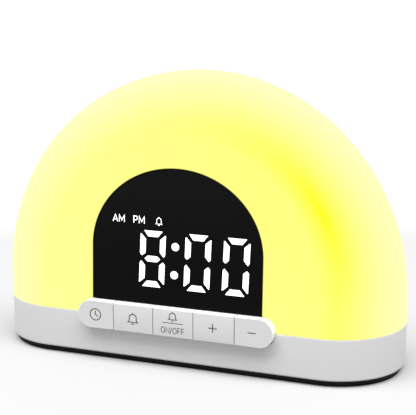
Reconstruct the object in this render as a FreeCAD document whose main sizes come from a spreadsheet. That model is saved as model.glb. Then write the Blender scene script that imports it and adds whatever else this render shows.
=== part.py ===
"""Sunrise alarm clock: an opal arched light over a white base, with a display and five keys.

Millimetres. X runs along the front to the right, the front faces -Y and Z is up.
The origin is the middle of the table face, half-way between the front and back walls.
"""
import FreeCAD, Part
import math
import os
import Sketcher
from FreeCAD import Placement, Rotation, Vector

# Driving dimensions: name, value in millimetres, what it measures.
SIZES = [
    ("BodyWidth", 160.0, "dome and base, side to side"),
    ("BodyDepth", 53.4, "base, front to back"),
    ("RimLand", 0.8, "half of the flat left between the two rim rounds"),
    ("FootThickness", 1.0, "silicone pad"),
    ("FootStep", 0.25, "pad edge inside the cover edge"),
    ("CoverThickness", 1.4, "bottom cover plate"),
    ("CoverInset", 1.26, "cover edge inside the base edge"),
    ("CoverLip", 2.0, "locating lip above the cover plate"),
    ("LipWall", 1.2, "thickness of the locating lip"),
    ("LipGap", 0.2, "lip to base wall"),
    ("BaseHeight", 15.7, "base shell"),
    ("BaseWall", 2.2, "base shell wall"),
    ("BaseEdge", 0.8, "round on the base's lower edge"),
    ("SeamChamfer", 0.3, "chamfer on the base's upper edge"),
    ("ShoulderHeight", 10.1, "straight flank of the dome above the seam"),
    ("DomeRise", 80.9, "rise of the arch above its flanks"),
    ("FrontLean", 0.038, "draft of the dome's faces, per unit of height"),
    ("DomeWall", 2.0, "dome wall"),
    ("ColumnBeyondCorner", 7.1, "case screw axis outside the middle of the end round"),
    ("ColumnFromBack", 6.5, "case screw axis to the body's front or back"),
    ("ColumnRadius", 3.5, "base column and dome boss"),
    ("CoverBossRadius", 2.8, "cover boss under a base column"),
    ("BossHeight", 12.0, "dome boss above the tray deck"),
    ("CaseScrewRadius", 1.3, "case screw shank"),
    ("CaseScrewHead", 2.2, "case screw head radius"),
    ("CaseScrewDepth", 1.6, "counterbore from the cover's underside"),
    ("HeadHeight", 1.4, "height of a case screw's head"),
    ("ScrewGap", 0.3, "round a screw in a clearance hole"),
    ("ThreadGap", 0.03, "round a screw in its boss"),
    ("PadHole", 3.2, "screw access hole in the pad"),
    ("TrayInset", 2.5, "tray skirt inside the base edge"),
    ("TrayDeck", 1.5, "tray deck"),
    ("TrayWall", 1.2, "tray skirt wall"),
    ("SkirtBelow", 0.8, "skirt below the deck"),
    ("SkirtAbove", 3.1, "skirt above the deck"),
    ("BossRelief", 0.6, "skirt to a column or boss"),
    ("NotchBeyondKeys", 10.0, "front notch of the tray outside the row of keys"),
    ("NotchDepth", 15.2, "front notch from the front plane"),
    ("WindowHalfWidth", 33.8, "display window"),
    ("WindowSpring", 26.6, "springing of the window's arch above the seam"),
    ("WindowRise", 30.5, "rise of the window's arch"),
    ("LensThickness", 1.6, "display lens"),
    ("LensGap", 0.08, "lens to window edge"),
    ("FrameRim", 2.5, "display frame beyond the window edge"),
    ("FrameGap", 0.15, "display frame to the dome wall"),
    ("FrameBack", 6.6, "back of the display frame behind the front plane"),
    ("FrameLow", 7.3, "bottom of the display frame above the seam"),
    ("EarRadius", 3.2, "screw ear and its dome boss"),
    ("EarThickness", 1.6, "screw ear"),
    ("EarOffset", 6.2, "screw ear beyond the window edge"),
    ("LowerEarHeight", 12.0, "lower ears above the seam"),
    ("UpperEarAngle", 50.0, "upper ears round the arch, degrees"),
    ("SmallScrewRadius", 1.1, "display, board and key screws"),
    ("SmallScrewHead", 2.0, "head radius of the small screws"),
    ("SmallHeadHeight", 1.3, "head height of the small screws"),
    ("DigitHeight", 21.4, "one figure"),
    ("DigitWidth", 10.6, "one figure"),
    ("StrokeWidth", 2.65, "one segment"),
    ("DigitSlant", 0.035, "slant of the figures"),
    ("DigitMiddle", 23.05, "middle of the figures above the seam"),
    ("DigitPitch", 15.4, "between the figures of a pair"),
    ("HoursUnit", -9.67, "middle of the second figure"),
    ("PairPitch", 33.45, "from the hours to the minutes"),
    ("ColonRadius", 1.65, "colon dot"),
    ("ColonMiddle", -0.65, "middle of the colon"),
    ("ColonSpread", 5.32, "colon dot from the middle of the figures"),
    ("SignHeight", 37.4, "middle of the status signs above the seam"),
    ("SignHalfHeight", 1.8, "status sign window"),
    ("MorningMiddle", -23.5, "morning sign"),
    ("EveningMiddle", -15.15, "evening sign"),
    ("BellMiddle", -7.1, "bell sign"),
    ("SignHalfWidth", 3.1, "morning and evening signs"),
    ("BellHalfWidth", 1.6, "bell sign"),
    ("GuideDepth", 4.0, "segment light guide"),
    ("ChannelGap", 0.05, "light guide to its channel"),
    ("BoardThickness", 1.2, "circuit boards"),
    ("BoardInset", 1.5, "display board inside the window edge"),
    ("StakeRadius", 1.0, "stake of the display frame"),
    ("StakeGap", 0.08, "stake to its hole in the display board"),
    ("KeyRowHalfWidth", 39.0, "row of keys"),
    ("KeyHalfHeight", 5.3, "row of keys"),
    ("KeyMiddle", 0.25, "middle of the keys above the seam"),
    ("KeyPitch", 16.17, "from key to key"),
    ("KeySplit", 0.3, "between two keys"),
    ("KeyStand", 3.1, "key face in front of the base"),
    ("KeyEdge", 0.45, "round on the key's face"),
    ("KeyGap", 0.25, "keys to their opening"),
    ("FlangeRim", 0.9, "key flange behind the opening's edge"),
    ("FlangeSeat", 0.25, "key flange to the base wall"),
    ("FlangeThickness", 1.2, "key flange"),
    ("StemHalfWidth", 4.0, "key stem"),
    ("StemHalfHeight", 2.5, "key stem"),
    ("StemLength", 3.65, "key stem behind the flange"),
    ("GuideSet", 0.75, "key guide behind the key flange"),
    ("GuideThickness", 1.5, "key guide plate"),
    ("GuideGap", 0.25, "key stem to its window"),
    ("GuideBeyondKeys", 8.5, "key guide and switch board outside the row of keys"),
    ("GuideTop", 6.2, "top of the key guide above the seam"),
    ("GuideBottom", 10.5, "bottom of the key guide below the seam"),
    ("PostBeyondKeys", 5.5, "key posts of the base outside the row of keys"),
    ("PostDrop", 7.1, "key posts below the seam"),
    ("PostRadius", 2.8, "key posts"),
    ("SpacerLength", 6.2, "between key guide and switch board"),
    ("SwitchSide", 6.2, "switch case"),
    ("SwitchDepth", 3.4, "switch case"),
    ("PlungerRadius", 1.7, "switch plunger"),
    ("PlungerGap", 0.2, "plunger to its bore"),
    ("PlungerInside", 1.6, "plunger inside the switch case"),
    ("PlungerRoom", 0.9, "behind the plunger at rest"),
    ("MainLow", 3.2, "main board above the cover plate"),
    ("MainLeft", -20.0, "main board edge"),
    ("MainRight", 52.0, "main board edge"),
    ("MainFront", -8.0, "main board edge"),
    ("MainFromBack", 5.7, "main board edge to the back of the body"),
    ("StandoffInset", 3.0, "standoffs from the main board's edges"),
    ("StandoffRadius", 2.4, "standoffs of the cover"),
    ("SocketHalfWidth", 4.47, "power socket shell"),
    ("SocketHalfHeight", 1.58, "power socket shell"),
    ("SocketWall", 0.3, "power socket shell"),
    ("SocketLength", 7.35, "power socket shell"),
    ("SocketOverhang", 1.55, "power socket beyond the main board"),
    ("PlugHalfWidth", 6.3, "plug opening in the base"),
    ("PlugHalfHeight", 3.4, "plug opening in the base"),
    ("PlugCorner", 2.0, "plug opening in the base"),
    ("SpeakerFromColumn", 22.7, "speaker's middle to the case screw axis beside it"),
    ("SpeakerHalfWidth", 14.5, "speaker frame"),
    ("SpeakerHalfHeight", 5.3, "speaker frame"),
    ("SpeakerRise", 7.8, "speaker axis above the bottom of the base shell"),
    ("SpeakerDepth", 3.0, "speaker frame"),
    ("SpeakerRim", 2.0, "speaker frame round the cone"),
    ("ConeSet", 1.2, "cone behind the wall"),
    ("ConeThickness", 0.8, "cone"),
    ("MagnetHalfWidth", 8.0, "magnet"),
    ("MagnetHalfHeight", 4.5, "magnet"),
    ("MagnetDepth", 4.4, "magnet"),
    ("SlotPitch", 2.6, "sound slots"),
    ("SlotHalfWidth", 0.65, "sound slots"),
    ("SlotHalfHeight", 3.6, "sound slots"),
    ("LampHalfLength", 62.0, "lamp board"),
    ("LampMiddle", 5.0, "lamp board behind the middle"),
    ("LampFromFaces", 15.7, "lamp board edge to the body's front and back"),
    ("LampSide", 5.0, "lamp"),
    ("LampHeight", 1.6, "lamp"),
    ("LampPitch", 14.0, "between lamps"),
    ("LampRow", 5.5, "lamp row from the board's middle"),
    ("LampScrewFromMiddle", 57.5, "lamp board screws"),
    ("LampBossDepth", 2.6, "lamp board bosses below the deck"),
    ("LampBossRadius", 2.6, "lamp board bosses"),
    ("CellRadius", 10.0, "coin cell"),
    ("CellThickness", 3.2, "coin cell"),
    ("CellMiddleX", 37.0, "coin cell"),
    ("CellMiddleY", 6.5, "coin cell"),
    ("HolderWall", 1.2, "cell holder"),
    ("HolderFloor", 1.0, "cell holder"),
    ("CellGap", 0.1, "cell to its holder"),
    ("CanRadius", 3.15, "capacitor"),
    ("CanHeight", 7.2, "capacitor"),
    ("ChipSide", 7.0, "controller"),
    ("ChipHeight", 1.2, "controller"),
    ("LeadRadius", 0.5, "speaker lead"),
    ("LeadBend", 5.0, "speaker lead"),
    ("RibbonThickness", 0.3, "display ribbon"),
    ("RibbonHalfWidth", 7.0, "display ribbon"),
    ("RibbonBend", 2.0, "display ribbon"),
    ("ConnectorHeight", 2.8, "board connectors"),
    ("ConnectorDepth", 3.0, "board connectors"),
]

KEYS = ["time", "alarm", "alarm_switch", "plus", "minus"]
SLOT_COUNT = 9
LAMPS_IN_ROW = 8
OVERSIZE = 5.0
NODES = []

doc = FreeCAD.newDocument("SunriseAlarmClock")
sheet = doc.addObject("Spreadsheet::Sheet", "Sizes")
for row, (name, value, meaning) in enumerate(SIZES, 1):
    sheet.set(f"A{row}", name)
    sheet.set(f"B{row}", str(value))
    sheet.setAlias(f"B{row}", name)
    sheet.set(f"C{row}", meaning)
doc.recompute()


def size(expression):
    """Value of an expression on the sheet's names, in millimetres."""
    return float(sheet.evalExpression(expression))


# Heights and depths that several pieces share, as expressions on the sheet.
HALF_WIDTH = "(Sizes.BodyWidth / 2)"
HALF_DEPTH = "(Sizes.BodyDepth / 2)"
BASE_LOW = "(Sizes.FootThickness + Sizes.CoverThickness)"
SEAM = f"({BASE_LOW} + Sizes.BaseHeight)"
DECK_TOP = SEAM
DECK_LOW = f"({DECK_TOP} - Sizes.TrayDeck)"
COLUMN_LOW = f"({BASE_LOW} + Sizes.CoverLip)"
COLUMN_X = f"({HALF_WIDTH} - {HALF_DEPTH} + Sizes.RimLand + Sizes.ColumnBeyondCorner)"
SPEAKER_X = f"(Sizes.SpeakerFromColumn - {COLUMN_X})"
MAIN_BACK = f"({HALF_DEPTH} - Sizes.MainFromBack)"
GUIDE_HALF = "(Sizes.KeyRowHalfWidth + Sizes.GuideBeyondKeys)"
POST_X = "(Sizes.KeyRowHalfWidth + Sizes.PostBeyondKeys)"
NOTCH_HALF = "(Sizes.KeyRowHalfWidth + Sizes.NotchBeyondKeys)"
LAMP_HALF = f"({HALF_DEPTH} - Sizes.LampFromFaces)"
STANDOFFS = [
    (f"({x})", f"({y})")
    for x in ("Sizes.MainLeft + Sizes.StandoffInset", "Sizes.MainRight - Sizes.StandoffInset")
    for y in ("Sizes.MainFront + Sizes.StandoffInset", f"{MAIN_BACK} - Sizes.StandoffInset")
]
COLUMN_Y = f"({HALF_DEPTH} - Sizes.ColumnFromBack)"
MAIN_LOW = f"({BASE_LOW} + Sizes.MainLow)"
MAIN_TOP = f"({MAIN_LOW} + Sizes.BoardThickness)"
KEY_MIDDLE = f"({SEAM} + Sizes.KeyMiddle)"
OPENING_HALF_WIDTH = "(Sizes.KeyRowHalfWidth + Sizes.KeyGap)"
OPENING_HALF_HEIGHT = "(Sizes.KeyHalfHeight + Sizes.KeyGap)"
KEY_OPENING = ("0", KEY_MIDDLE, OPENING_HALF_WIDTH, OPENING_HALF_HEIGHT)
FLANGE_FRONT = f"({HALF_DEPTH} - Sizes.BaseWall - Sizes.FlangeSeat)"
FLANGE_BACK = f"({FLANGE_FRONT} - Sizes.FlangeThickness)"
GUIDE_FRONT = f"({FLANGE_BACK} - Sizes.GuideSet)"
GUIDE_BACK = f"({GUIDE_FRONT} - Sizes.GuideThickness)"
SWITCH_FRONT = f"({GUIDE_BACK} - Sizes.SpacerLength)"
SWITCH_BACK = f"({SWITCH_FRONT} - Sizes.BoardThickness)"
STEM_BACK = f"({FLANGE_BACK} - Sizes.StemLength)"
POST_HEIGHT = f"({SEAM} - Sizes.PostDrop)"
SOCKET_MIDDLE = f"({MAIN_TOP} + Sizes.SocketHalfHeight)"
SPEAKER_MIDDLE = f"({BASE_LOW} + Sizes.SpeakerRise)"
BACK_INSIDE = f"({HALF_DEPTH} - Sizes.BaseWall)"

LEAN = Placement(
    Vector(0, -size(HALF_DEPTH), size(SEAM)),
    Rotation(Vector(1, 0, 0), -math.degrees(math.atan(size("Sizes.FrontLean")))),
)


def keep(piece, label):
    """Name a finished piece after its node."""
    piece.Label = label
    NODES.append(piece)
    return piece


def new_body(label):
    """Empty body for one moulded or machined piece."""
    return keep(doc.addObject("PartDesign::Body", label), label)


def sketch_on(body, role, height):
    """Empty sketch parallel to an origin plane; heights on XZ_Plane count towards the front."""
    sketch = body.newObject("Sketcher::SketchObject", f"{body.Name}_sketch")
    plane = next(face for face in body.Origin.OriginFeatures if face.Role == role)
    sketch.AttachmentSupport = [(plane, "")]
    sketch.MapMode = "FlatFace"
    sketch.setExpression("AttachmentOffset.Base.z", height)
    return sketch


def pin(sketch, kind, geometry, point, expression):
    """Tie one coordinate of a sketch point to the sheet."""
    index = sketch.addConstraint(Sketcher.Constraint(kind, -1, 1, geometry, point, size(expression)))
    sketch.setExpression(f"Constraints[{index}]", expression)


def tie_radius(sketch, geometry, expression):
    """Tie a radius to the sheet."""
    index = sketch.addConstraint(Sketcher.Constraint("Radius", geometry, size(expression)))
    sketch.setExpression(f"Constraints[{index}]", expression)


def rectangle(sketch, left, right, low, high):
    """Rectangle between four tied sides."""
    x0, x1, y0, y1 = (size(side) for side in (left, right, low, high))
    corners = [Vector(x0, y0, 0), Vector(x1, y0, 0), Vector(x1, y1, 0), Vector(x0, y1, 0)]
    first = sketch.GeometryCount
    for i in range(4):
        sketch.addGeometry(Part.LineSegment(corners[i], corners[(i + 1) % 4]), False)
    for i in range(4):
        sketch.addConstraint(Sketcher.Constraint("Coincident", first + i, 2, first + (i + 1) % 4, 1))
    for i, kind in enumerate(("Horizontal", "Vertical", "Horizontal", "Vertical")):
        sketch.addConstraint(Sketcher.Constraint(kind, first + i))
    pin(sketch, "DistanceX", first, 1, left)
    pin(sketch, "DistanceY", first, 1, low)
    pin(sketch, "DistanceX", first + 2, 1, right)
    pin(sketch, "DistanceY", first + 2, 1, high)


def circle(sketch, x, y, radius):
    """Circle with tied centre and radius."""
    centre = Vector(size(x), size(y), 0)
    index = sketch.addGeometry(Part.Circle(centre, Vector(0, 0, 1), size(radius)), False)
    tie_radius(sketch, index, radius)
    pin(sketch, "DistanceX", index, 3, x)
    pin(sketch, "DistanceY", index, 3, y)


def rounded(sketch, left, right, low, high, radius):
    """Rectangle with four equal round corners, tied at its corner centres."""
    x0, x1, y0, y1, r = (size(item) for item in (left, right, low, high, radius))
    centres = [(x1 - r, y0 + r), (x1 - r, y1 - r), (x0 + r, y1 - r), (x0 + r, y0 + r)]
    ties = [
        (f"{right} - ({radius})", f"{low} + ({radius})"),
        (f"{right} - ({radius})", f"{high} - ({radius})"),
        (f"{left} + ({radius})", f"{high} - ({radius})"),
        (f"{left} + ({radius})", f"{low} + ({radius})"),
    ]
    first = sketch.GeometryCount
    for i, (x, y) in enumerate(centres):
        arc = Part.Circle(Vector(x, y, 0), Vector(0, 0, 1), r)
        start = math.radians(90 * i - 90)
        sketch.addGeometry(Part.ArcOfCircle(arc, start, start + math.pi / 2), False)
    for i in range(4):
        end = sketch.getPoint(first + i, 2)
        start = sketch.getPoint(first + (i + 1) % 4, 1)
        sketch.addGeometry(Part.LineSegment(end, start), False)
    for i in range(4):
        sketch.addConstraint(Sketcher.Constraint("Tangent", first + i, 2, first + 4 + i, 1))
        sketch.addConstraint(Sketcher.Constraint("Tangent", first + 4 + i, 2, first + (i + 1) % 4, 1))
    for i in range(4):
        tie_radius(sketch, first + i, radius)
    for i, (x, y) in enumerate(ties[:3:2]):
        pin(sketch, "DistanceX", first + 2 * i, 3, x)
        pin(sketch, "DistanceY", first + 2 * i, 3, y)
    sketch.addConstraint(Sketcher.Constraint("Vertical", first + 4))
    sketch.addConstraint(Sketcher.Constraint("Horizontal", first + 5))


def pill(sketch, x, y, half_width, half_height):
    """Slot with full round ends along its longer side."""
    upright = size(half_height) > size(half_width)
    short = half_width if upright else half_height
    reach = f"({half_height} - {half_width})" if upright else f"({half_width} - {half_height})"
    r = size(short)
    step = Vector(0, size(reach), 0) if upright else Vector(size(reach), 0, 0)
    middle = Vector(size(x), size(y), 0)
    turn = math.pi / 2 if upright else 0
    first = sketch.GeometryCount
    for sign, start in ((1, turn - math.pi / 2), (-1, turn + math.pi / 2)):
        arc = Part.Circle(middle + step * sign, Vector(0, 0, 1), r)
        sketch.addGeometry(Part.ArcOfCircle(arc, start, start + math.pi), False)
    for i in range(2):
        end = sketch.getPoint(first + i, 2)
        start = sketch.getPoint(first + 1 - i, 1)
        sketch.addGeometry(Part.LineSegment(end, start), False)
        sketch.addConstraint(Sketcher.Constraint("Tangent", first + i, 2, first + 2 + i, 1))
    for i in range(2):
        sketch.addConstraint(Sketcher.Constraint("Tangent", first + 2 + i, 2, first + 1 - i, 1))
    tie_radius(sketch, first, short)
    across = ("DistanceX", x) if upright else ("DistanceY", y)
    along = ("DistanceY", y) if upright else ("DistanceX", x)
    pin(sketch, along[0], first, 3, f"{along[1]} + {reach}")
    pin(sketch, along[0], first + 1, 3, f"{along[1]} - {reach}")
    pin(sketch, across[0], first, 3, across[1])
    pin(sketch, across[0], first + 1, 3, across[1])


def pad(body, sketch, length, back=False):
    """Raise a sketch, along its normal or back."""
    feature = body.newObject("PartDesign::Pad", f"{body.Name}_pad")
    feature.Profile = sketch
    feature.setExpression("Length", length)
    feature.Reversed = back
    doc.recompute()
    return feature


def pocket(body, sketch, depth, back=False):
    """Cut a sketch out along its normal or back, and make sure that it takes something away."""
    before = body.Shape.Volume
    feature = body.newObject("PartDesign::Pocket", f"{body.Name}_pocket")
    feature.Profile = sketch
    feature.setExpression("Length", depth)
    feature.Reversed = not back
    doc.recompute()
    if body.Shape.Volume > before - 1e-6:
        raise RuntimeError(f"{feature.Name} cuts nothing from {body.Label}")
    return feature


def edge_names(shape, wanted):
    """Names of the edges that a test picks."""
    return [f"Edge{i}" for i, edge in enumerate(shape.Edges, 1) if wanted(edge)]


def dress(body, kind, feature, wanted, amount, measure):
    """Fillet or chamfer the edges of a feature that a test picks."""
    finish = body.newObject(f"PartDesign::{kind}", f"{body.Name}_{kind.lower()}")
    finish.Base = (feature, edge_names(feature.Shape, wanted))
    finish.setExpression(measure, amount)
    doc.recompute()
    return finish


def plan_outline(sketch, inset):
    """The clock's plan outline, inset all round."""
    half_x = f"({HALF_WIDTH} - ({inset}))"
    half_y = f"({HALF_DEPTH} - ({inset}))"
    rounded(sketch, f"-{half_x}", half_x, f"-{half_y}", half_y, f"({half_y} - Sizes.RimLand)")


def corner_circles(sketch, radius):
    """One circle on each case screw's axis."""
    for sign_x in ("-", ""):
        for sign_y in ("-", ""):
            circle(sketch, f"{sign_x}{COLUMN_X}", f"{sign_y}{COLUMN_Y}", radius)


def flat_at(edge, axis, place):
    """True for an edge that lies wholly in the plane across an axis at a place."""
    box = edge.BoundBox
    low = getattr(box, axis + "Min")
    high = getattr(box, axis + "Max")
    return abs(low - place) < 1e-4 and abs(high - place) < 1e-4


def feature_of(label, shape, placement=None):
    """Piece or tool whose shape is worked out directly from the sheet."""
    piece = doc.addObject("Part::Feature", label)
    piece.Shape = shape
    if placement:
        piece.Placement = placement
    return piece


def cylinder(label, radius, height, x, y, z, axis="Z"):
    """Cylinder tied to the sheet, along +Z or, with axis Y, along +Y."""
    tool = doc.addObject("Part::Cylinder", label)
    tool.setExpression("Radius", radius)
    tool.setExpression("Height", height)
    if axis == "Y":
        tool.Placement = Placement(Vector(), Rotation(Vector(1, 0, 0), -90))
    for part, place in (("x", x), ("y", y), ("z", z)):
        tool.setExpression(f"Placement.Base.{part}", place)
    return tool


def block(label, left, right, front, back, low, high):
    """Box between six tied sides."""
    tool = doc.addObject("Part::Box", label)
    for prop, start, end in (("Length", left, right), ("Width", front, back), ("Height", low, high)):
        tool.setExpression(prop, f"({end}) - ({start})")
    for part, place in (("x", left), ("y", front), ("z", low)):
        tool.setExpression(f"Placement.Base.{part}", place)
    return tool


def fuse(label, parts):
    """Join several shapes into one."""
    joined = doc.addObject("Part::MultiFuse", label)
    joined.Shapes = parts
    return joined


def subtract(label, base, tool):
    """Cut one shape from another."""
    result = doc.addObject("Part::Cut", label)
    result.Base = base
    result.Tool = tool
    return result


def group(label, parts):
    """Several like solids in one piece."""
    gathered = doc.addObject("Part::Compound", label)
    gathered.Links = parts
    return gathered


def ellipse_arcs(half_width, rise, spring):
    """Left and right upper quarters of an ellipse that stands on the XZ plane."""
    top = Vector(0, 0, spring + rise)
    right = Vector(half_width, 0, spring)
    centre = Vector(0, 0, spring)
    if rise > half_width:
        curve = Part.Ellipse(top, right, centre)
        spans = [(-math.pi / 2, 0), (0, math.pi / 2)]
    else:
        curve = Part.Ellipse(right, top, centre)
        spans = [(0, math.pi / 2), (math.pi / 2, math.pi)]
    return [Part.ArcOfEllipse(curve, start, end).toShape() for start, end in spans]


def arch_face(half_width, rise, spring, low):
    """Arched door shape on the XZ plane, from a level bottom edge."""
    left_foot = Vector(-half_width, 0, low)
    right_foot = Vector(half_width, 0, low)
    left_spring = Vector(-half_width, 0, spring)
    right_spring = Vector(half_width, 0, spring)
    edges = ellipse_arcs(half_width, rise, spring)
    edges.append(Part.makeLine(right_spring, right_foot))
    edges.append(Part.makeLine(right_foot, left_foot))
    edges.append(Part.makeLine(left_foot, left_spring))
    return Part.Face(Part.Wire(Part.sortEdges(edges)[0]))


def between(face, front, back):
    """Extrude a face that stands on the XZ plane from one depth to another."""
    moved = face.copy()
    moved.translate(Vector(0, front, 0))
    return moved.extrude(Vector(0, back - front, 0))


def standing_polygon(points):
    """Face on the XZ plane from its corners."""
    corners = [Vector(x, 0, z) for x, z in points]
    return Part.Face(Part.makePolygon(corners + corners[:1]))


def dome_form(label, inset, low):
    """Drafted arch with its rim rounded to nearly half its depth, inset from the outer surface."""
    seam = size(SEAM)
    lean = size("Sizes.FrontLean")
    half = size(HALF_DEPTH) - inset
    spring = seam + size("Sizes.ShoulderHeight")
    rise = size("Sizes.DomeRise") - inset
    above = spring + rise + OVERSIZE

    def half_depth(height):
        return half - lean * (height - seam)

    side = size(HALF_WIDTH) + OVERSIZE
    low_half = half_depth(low)
    top_half = half_depth(above)
    ends = [(-low_half, low), (low_half, low), (top_half, above), (-top_half, above)]
    section = Part.makePolygon([Vector(-side, y, z) for y, z in ends + ends[:1]])
    wedge = Part.Face(section).extrude(Vector(2 * side, 0, 0))
    arch = between(arch_face(size(HALF_WIDTH) - inset, rise, spring, low), -side, side)
    drafted = feature_of(f"{label}_drafted", arch.common(wedge))

    form = doc.addObject("Part::Fillet", label)
    form.Base = drafted
    rounds = []
    for i, edge in enumerate(drafted.Shape.Edges, 1):
        box = edge.BoundBox
        if box.YMax - box.YMin > low_half or flat_at(edge, "Z", low):
            continue
        first, last = (vertex.Point for vertex in (edge.firstVertex(True), edge.lastVertex(True)))
        land = size("Sizes.RimLand")
        rounds.append((i, half_depth(first.z) - land, half_depth(last.z) - land))
    form.Edges = rounds
    doc.recompute()
    return form


RECESS_REACH = 0.6
RECESS_ARM = 0.14
RECESS_DEPTH = 0.55
TIP_CLEAR = 0.3
DISPLAY_TIP_CLEAR = 0.4


def screw(head_radius, head_height, radius, length):
    """Pan-head screw that points along +Z, head below its seat at the origin, with a cross recess."""
    head = Part.makeCylinder(head_radius, head_height, Vector(0, 0, -head_height))
    shank = Part.makeCylinder(radius, length)
    recess_half = head_radius * RECESS_REACH
    arm = head_radius * RECESS_ARM
    deep = head_height * RECESS_DEPTH
    bottom = Vector(-recess_half, -arm, -head_height)
    first = Part.makeBox(2 * recess_half, 2 * arm, deep, bottom)
    second = first.copy()
    second.rotate(Vector(), Vector(0, 0, 1), 90)
    return head.fuse(shank).cut(first.fuse(second))


def screw_set(places, direction, head_radius, head_height, radius, length):
    """Like screws at several seats, all pointing one way."""
    turn = Rotation(Vector(0, 0, 1), direction)
    solids = []
    for place in places:
        one = screw(head_radius, head_height, radius, length)
        one.Placement = Placement(place, turn)
        solids.append(one)
    return Part.makeCompound(solids)


# Bottom cover, its pad and the case screws.

def foot_pad():
    """Silicone pad that the clock rests on, with an access hole under each case screw."""
    body = new_body("foot_pad")
    sheet_outline = sketch_on(body, "XY_Plane", "0")
    plan_outline(sheet_outline, "Sizes.CoverInset + Sizes.FootStep")
    pad(body, sheet_outline, "Sizes.FootThickness")
    holes = sketch_on(body, "XY_Plane", "0")
    corner_circles(holes, "Sizes.PadHole")
    pocket(body, holes, "Sizes.FootThickness")


def bottom_cover():
    """Black plate with a locating lip, four screw bosses and the main board's standoffs."""
    body = new_body("bottom_cover")
    plate = sketch_on(body, "XY_Plane", "Sizes.FootThickness")
    plan_outline(plate, "Sizes.CoverInset")
    pad(body, plate, "Sizes.CoverThickness")
    lip = sketch_on(body, "XY_Plane", BASE_LOW)
    plan_outline(lip, "Sizes.BaseWall + Sizes.LipGap")
    plan_outline(lip, "Sizes.BaseWall + Sizes.LipGap + Sizes.LipWall")
    pad(body, lip, "Sizes.CoverLip")
    bosses = sketch_on(body, "XY_Plane", BASE_LOW)
    corner_circles(bosses, "Sizes.CoverBossRadius")
    pad(body, bosses, "Sizes.CoverLip")
    standoffs = sketch_on(body, "XY_Plane", BASE_LOW)
    for x, y in STANDOFFS:
        circle(standoffs, x, y, "Sizes.StandoffRadius")
    pad(body, standoffs, "Sizes.MainLow")
    pilots = sketch_on(body, "XY_Plane", BASE_LOW)
    for x, y in STANDOFFS:
        circle(pilots, x, y, "Sizes.SmallScrewRadius + Sizes.ThreadGap")
    pocket(body, pilots, "Sizes.MainLow")
    seats = sketch_on(body, "XY_Plane", "Sizes.FootThickness")
    corner_circles(seats, "Sizes.CaseScrewHead + Sizes.ScrewGap")
    pocket(body, seats, "Sizes.CaseScrewDepth")
    holes = sketch_on(body, "XY_Plane", "Sizes.FootThickness")
    corner_circles(holes, "Sizes.CaseScrewRadius + Sizes.ScrewGap")
    pocket(body, holes, "Sizes.CoverThickness + Sizes.CoverLip")


def case_screws():
    """Long screws that clamp the cover, base, tray and dome together."""
    seat = size("Sizes.FootThickness + Sizes.CaseScrewDepth")
    top = size(f"{DECK_TOP} + Sizes.BossHeight") - 2.0
    x, y = size(COLUMN_X), size(COLUMN_Y)
    places = [Vector(sx * x, sy * y, seat) for sx in (-1, 1) for sy in (-1, 1)]
    shape = screw_set(
        places, Vector(0, 0, 1), size("Sizes.CaseScrewHead"),
        size("Sizes.HeadHeight"), size("Sizes.CaseScrewRadius"), top - seat,
    )
    keep(feature_of("case_screws", shape), "case_screws")


# Base shell and light tray.

def base_shell():
    """White tube with screw columns, key posts, the key opening, plug opening and sound slots."""
    body = new_body("base_shell")
    wall = sketch_on(body, "XY_Plane", BASE_LOW)
    plan_outline(wall, "0")
    solid = pad(body, wall, "Sizes.BaseHeight")
    top = dress(
        body, "Chamfer", solid, lambda edge: flat_at(edge, "Z", size(SEAM)), "Sizes.SeamChamfer", "Size"
    )
    dress(body, "Fillet", top, lambda edge: flat_at(edge, "Z", size(BASE_LOW)), "Sizes.BaseEdge", "Radius")
    hollow = sketch_on(body, "XY_Plane", BASE_LOW)
    plan_outline(hollow, "Sizes.BaseWall")
    pocket(body, hollow, "Sizes.BaseHeight")
    columns = sketch_on(body, "XY_Plane", COLUMN_LOW)
    corner_circles(columns, "Sizes.ColumnRadius")
    pad(body, columns, f"{DECK_LOW} - {COLUMN_LOW}")
    holes = sketch_on(body, "XY_Plane", COLUMN_LOW)
    corner_circles(holes, "Sizes.CaseScrewRadius + Sizes.ScrewGap")
    pocket(body, holes, f"{DECK_LOW} - {COLUMN_LOW}")
    posts = sketch_on(body, "XZ_Plane", GUIDE_FRONT)
    for sign in ("-", ""):
        circle(posts, f"{sign}{POST_X}", POST_HEIGHT, "Sizes.PostRadius")
    pad(body, posts, f"{HALF_DEPTH} - Sizes.BaseWall - {GUIDE_FRONT} + Sizes.ThreadGap")
    pilots = sketch_on(body, "XZ_Plane", GUIDE_FRONT)
    for sign in ("-", ""):
        circle(pilots, f"{sign}{POST_X}", POST_HEIGHT, "Sizes.SmallScrewRadius + Sizes.ThreadGap")
    pocket(body, pilots, f"{HALF_DEPTH} - Sizes.BaseWall / 2 - {GUIDE_FRONT}")
    keys = sketch_on(body, "XZ_Plane", GUIDE_FRONT)
    pill(keys, *KEY_OPENING)
    pocket(body, keys, HALF_DEPTH)
    plug = sketch_on(body, "XZ_Plane", f"-{COLUMN_Y}")
    rounded(
        plug, "-Sizes.PlugHalfWidth", "Sizes.PlugHalfWidth", f"{SOCKET_MIDDLE} - Sizes.PlugHalfHeight",
        f"{SOCKET_MIDDLE} + Sizes.PlugHalfHeight", "Sizes.PlugCorner",
    )
    pocket(body, plug, HALF_DEPTH, back=True)
    slots = sketch_on(body, "XZ_Plane", f"-{COLUMN_Y}")
    for i in range(SLOT_COUNT):
        place = f"({SPEAKER_X} + Sizes.SlotPitch * {i - (SLOT_COUNT - 1) / 2})"
        pill(slots, place, SPEAKER_MIDDLE, "Sizes.SlotHalfWidth", "Sizes.SlotHalfHeight")
    pocket(body, slots, HALF_DEPTH, back=True)


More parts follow.
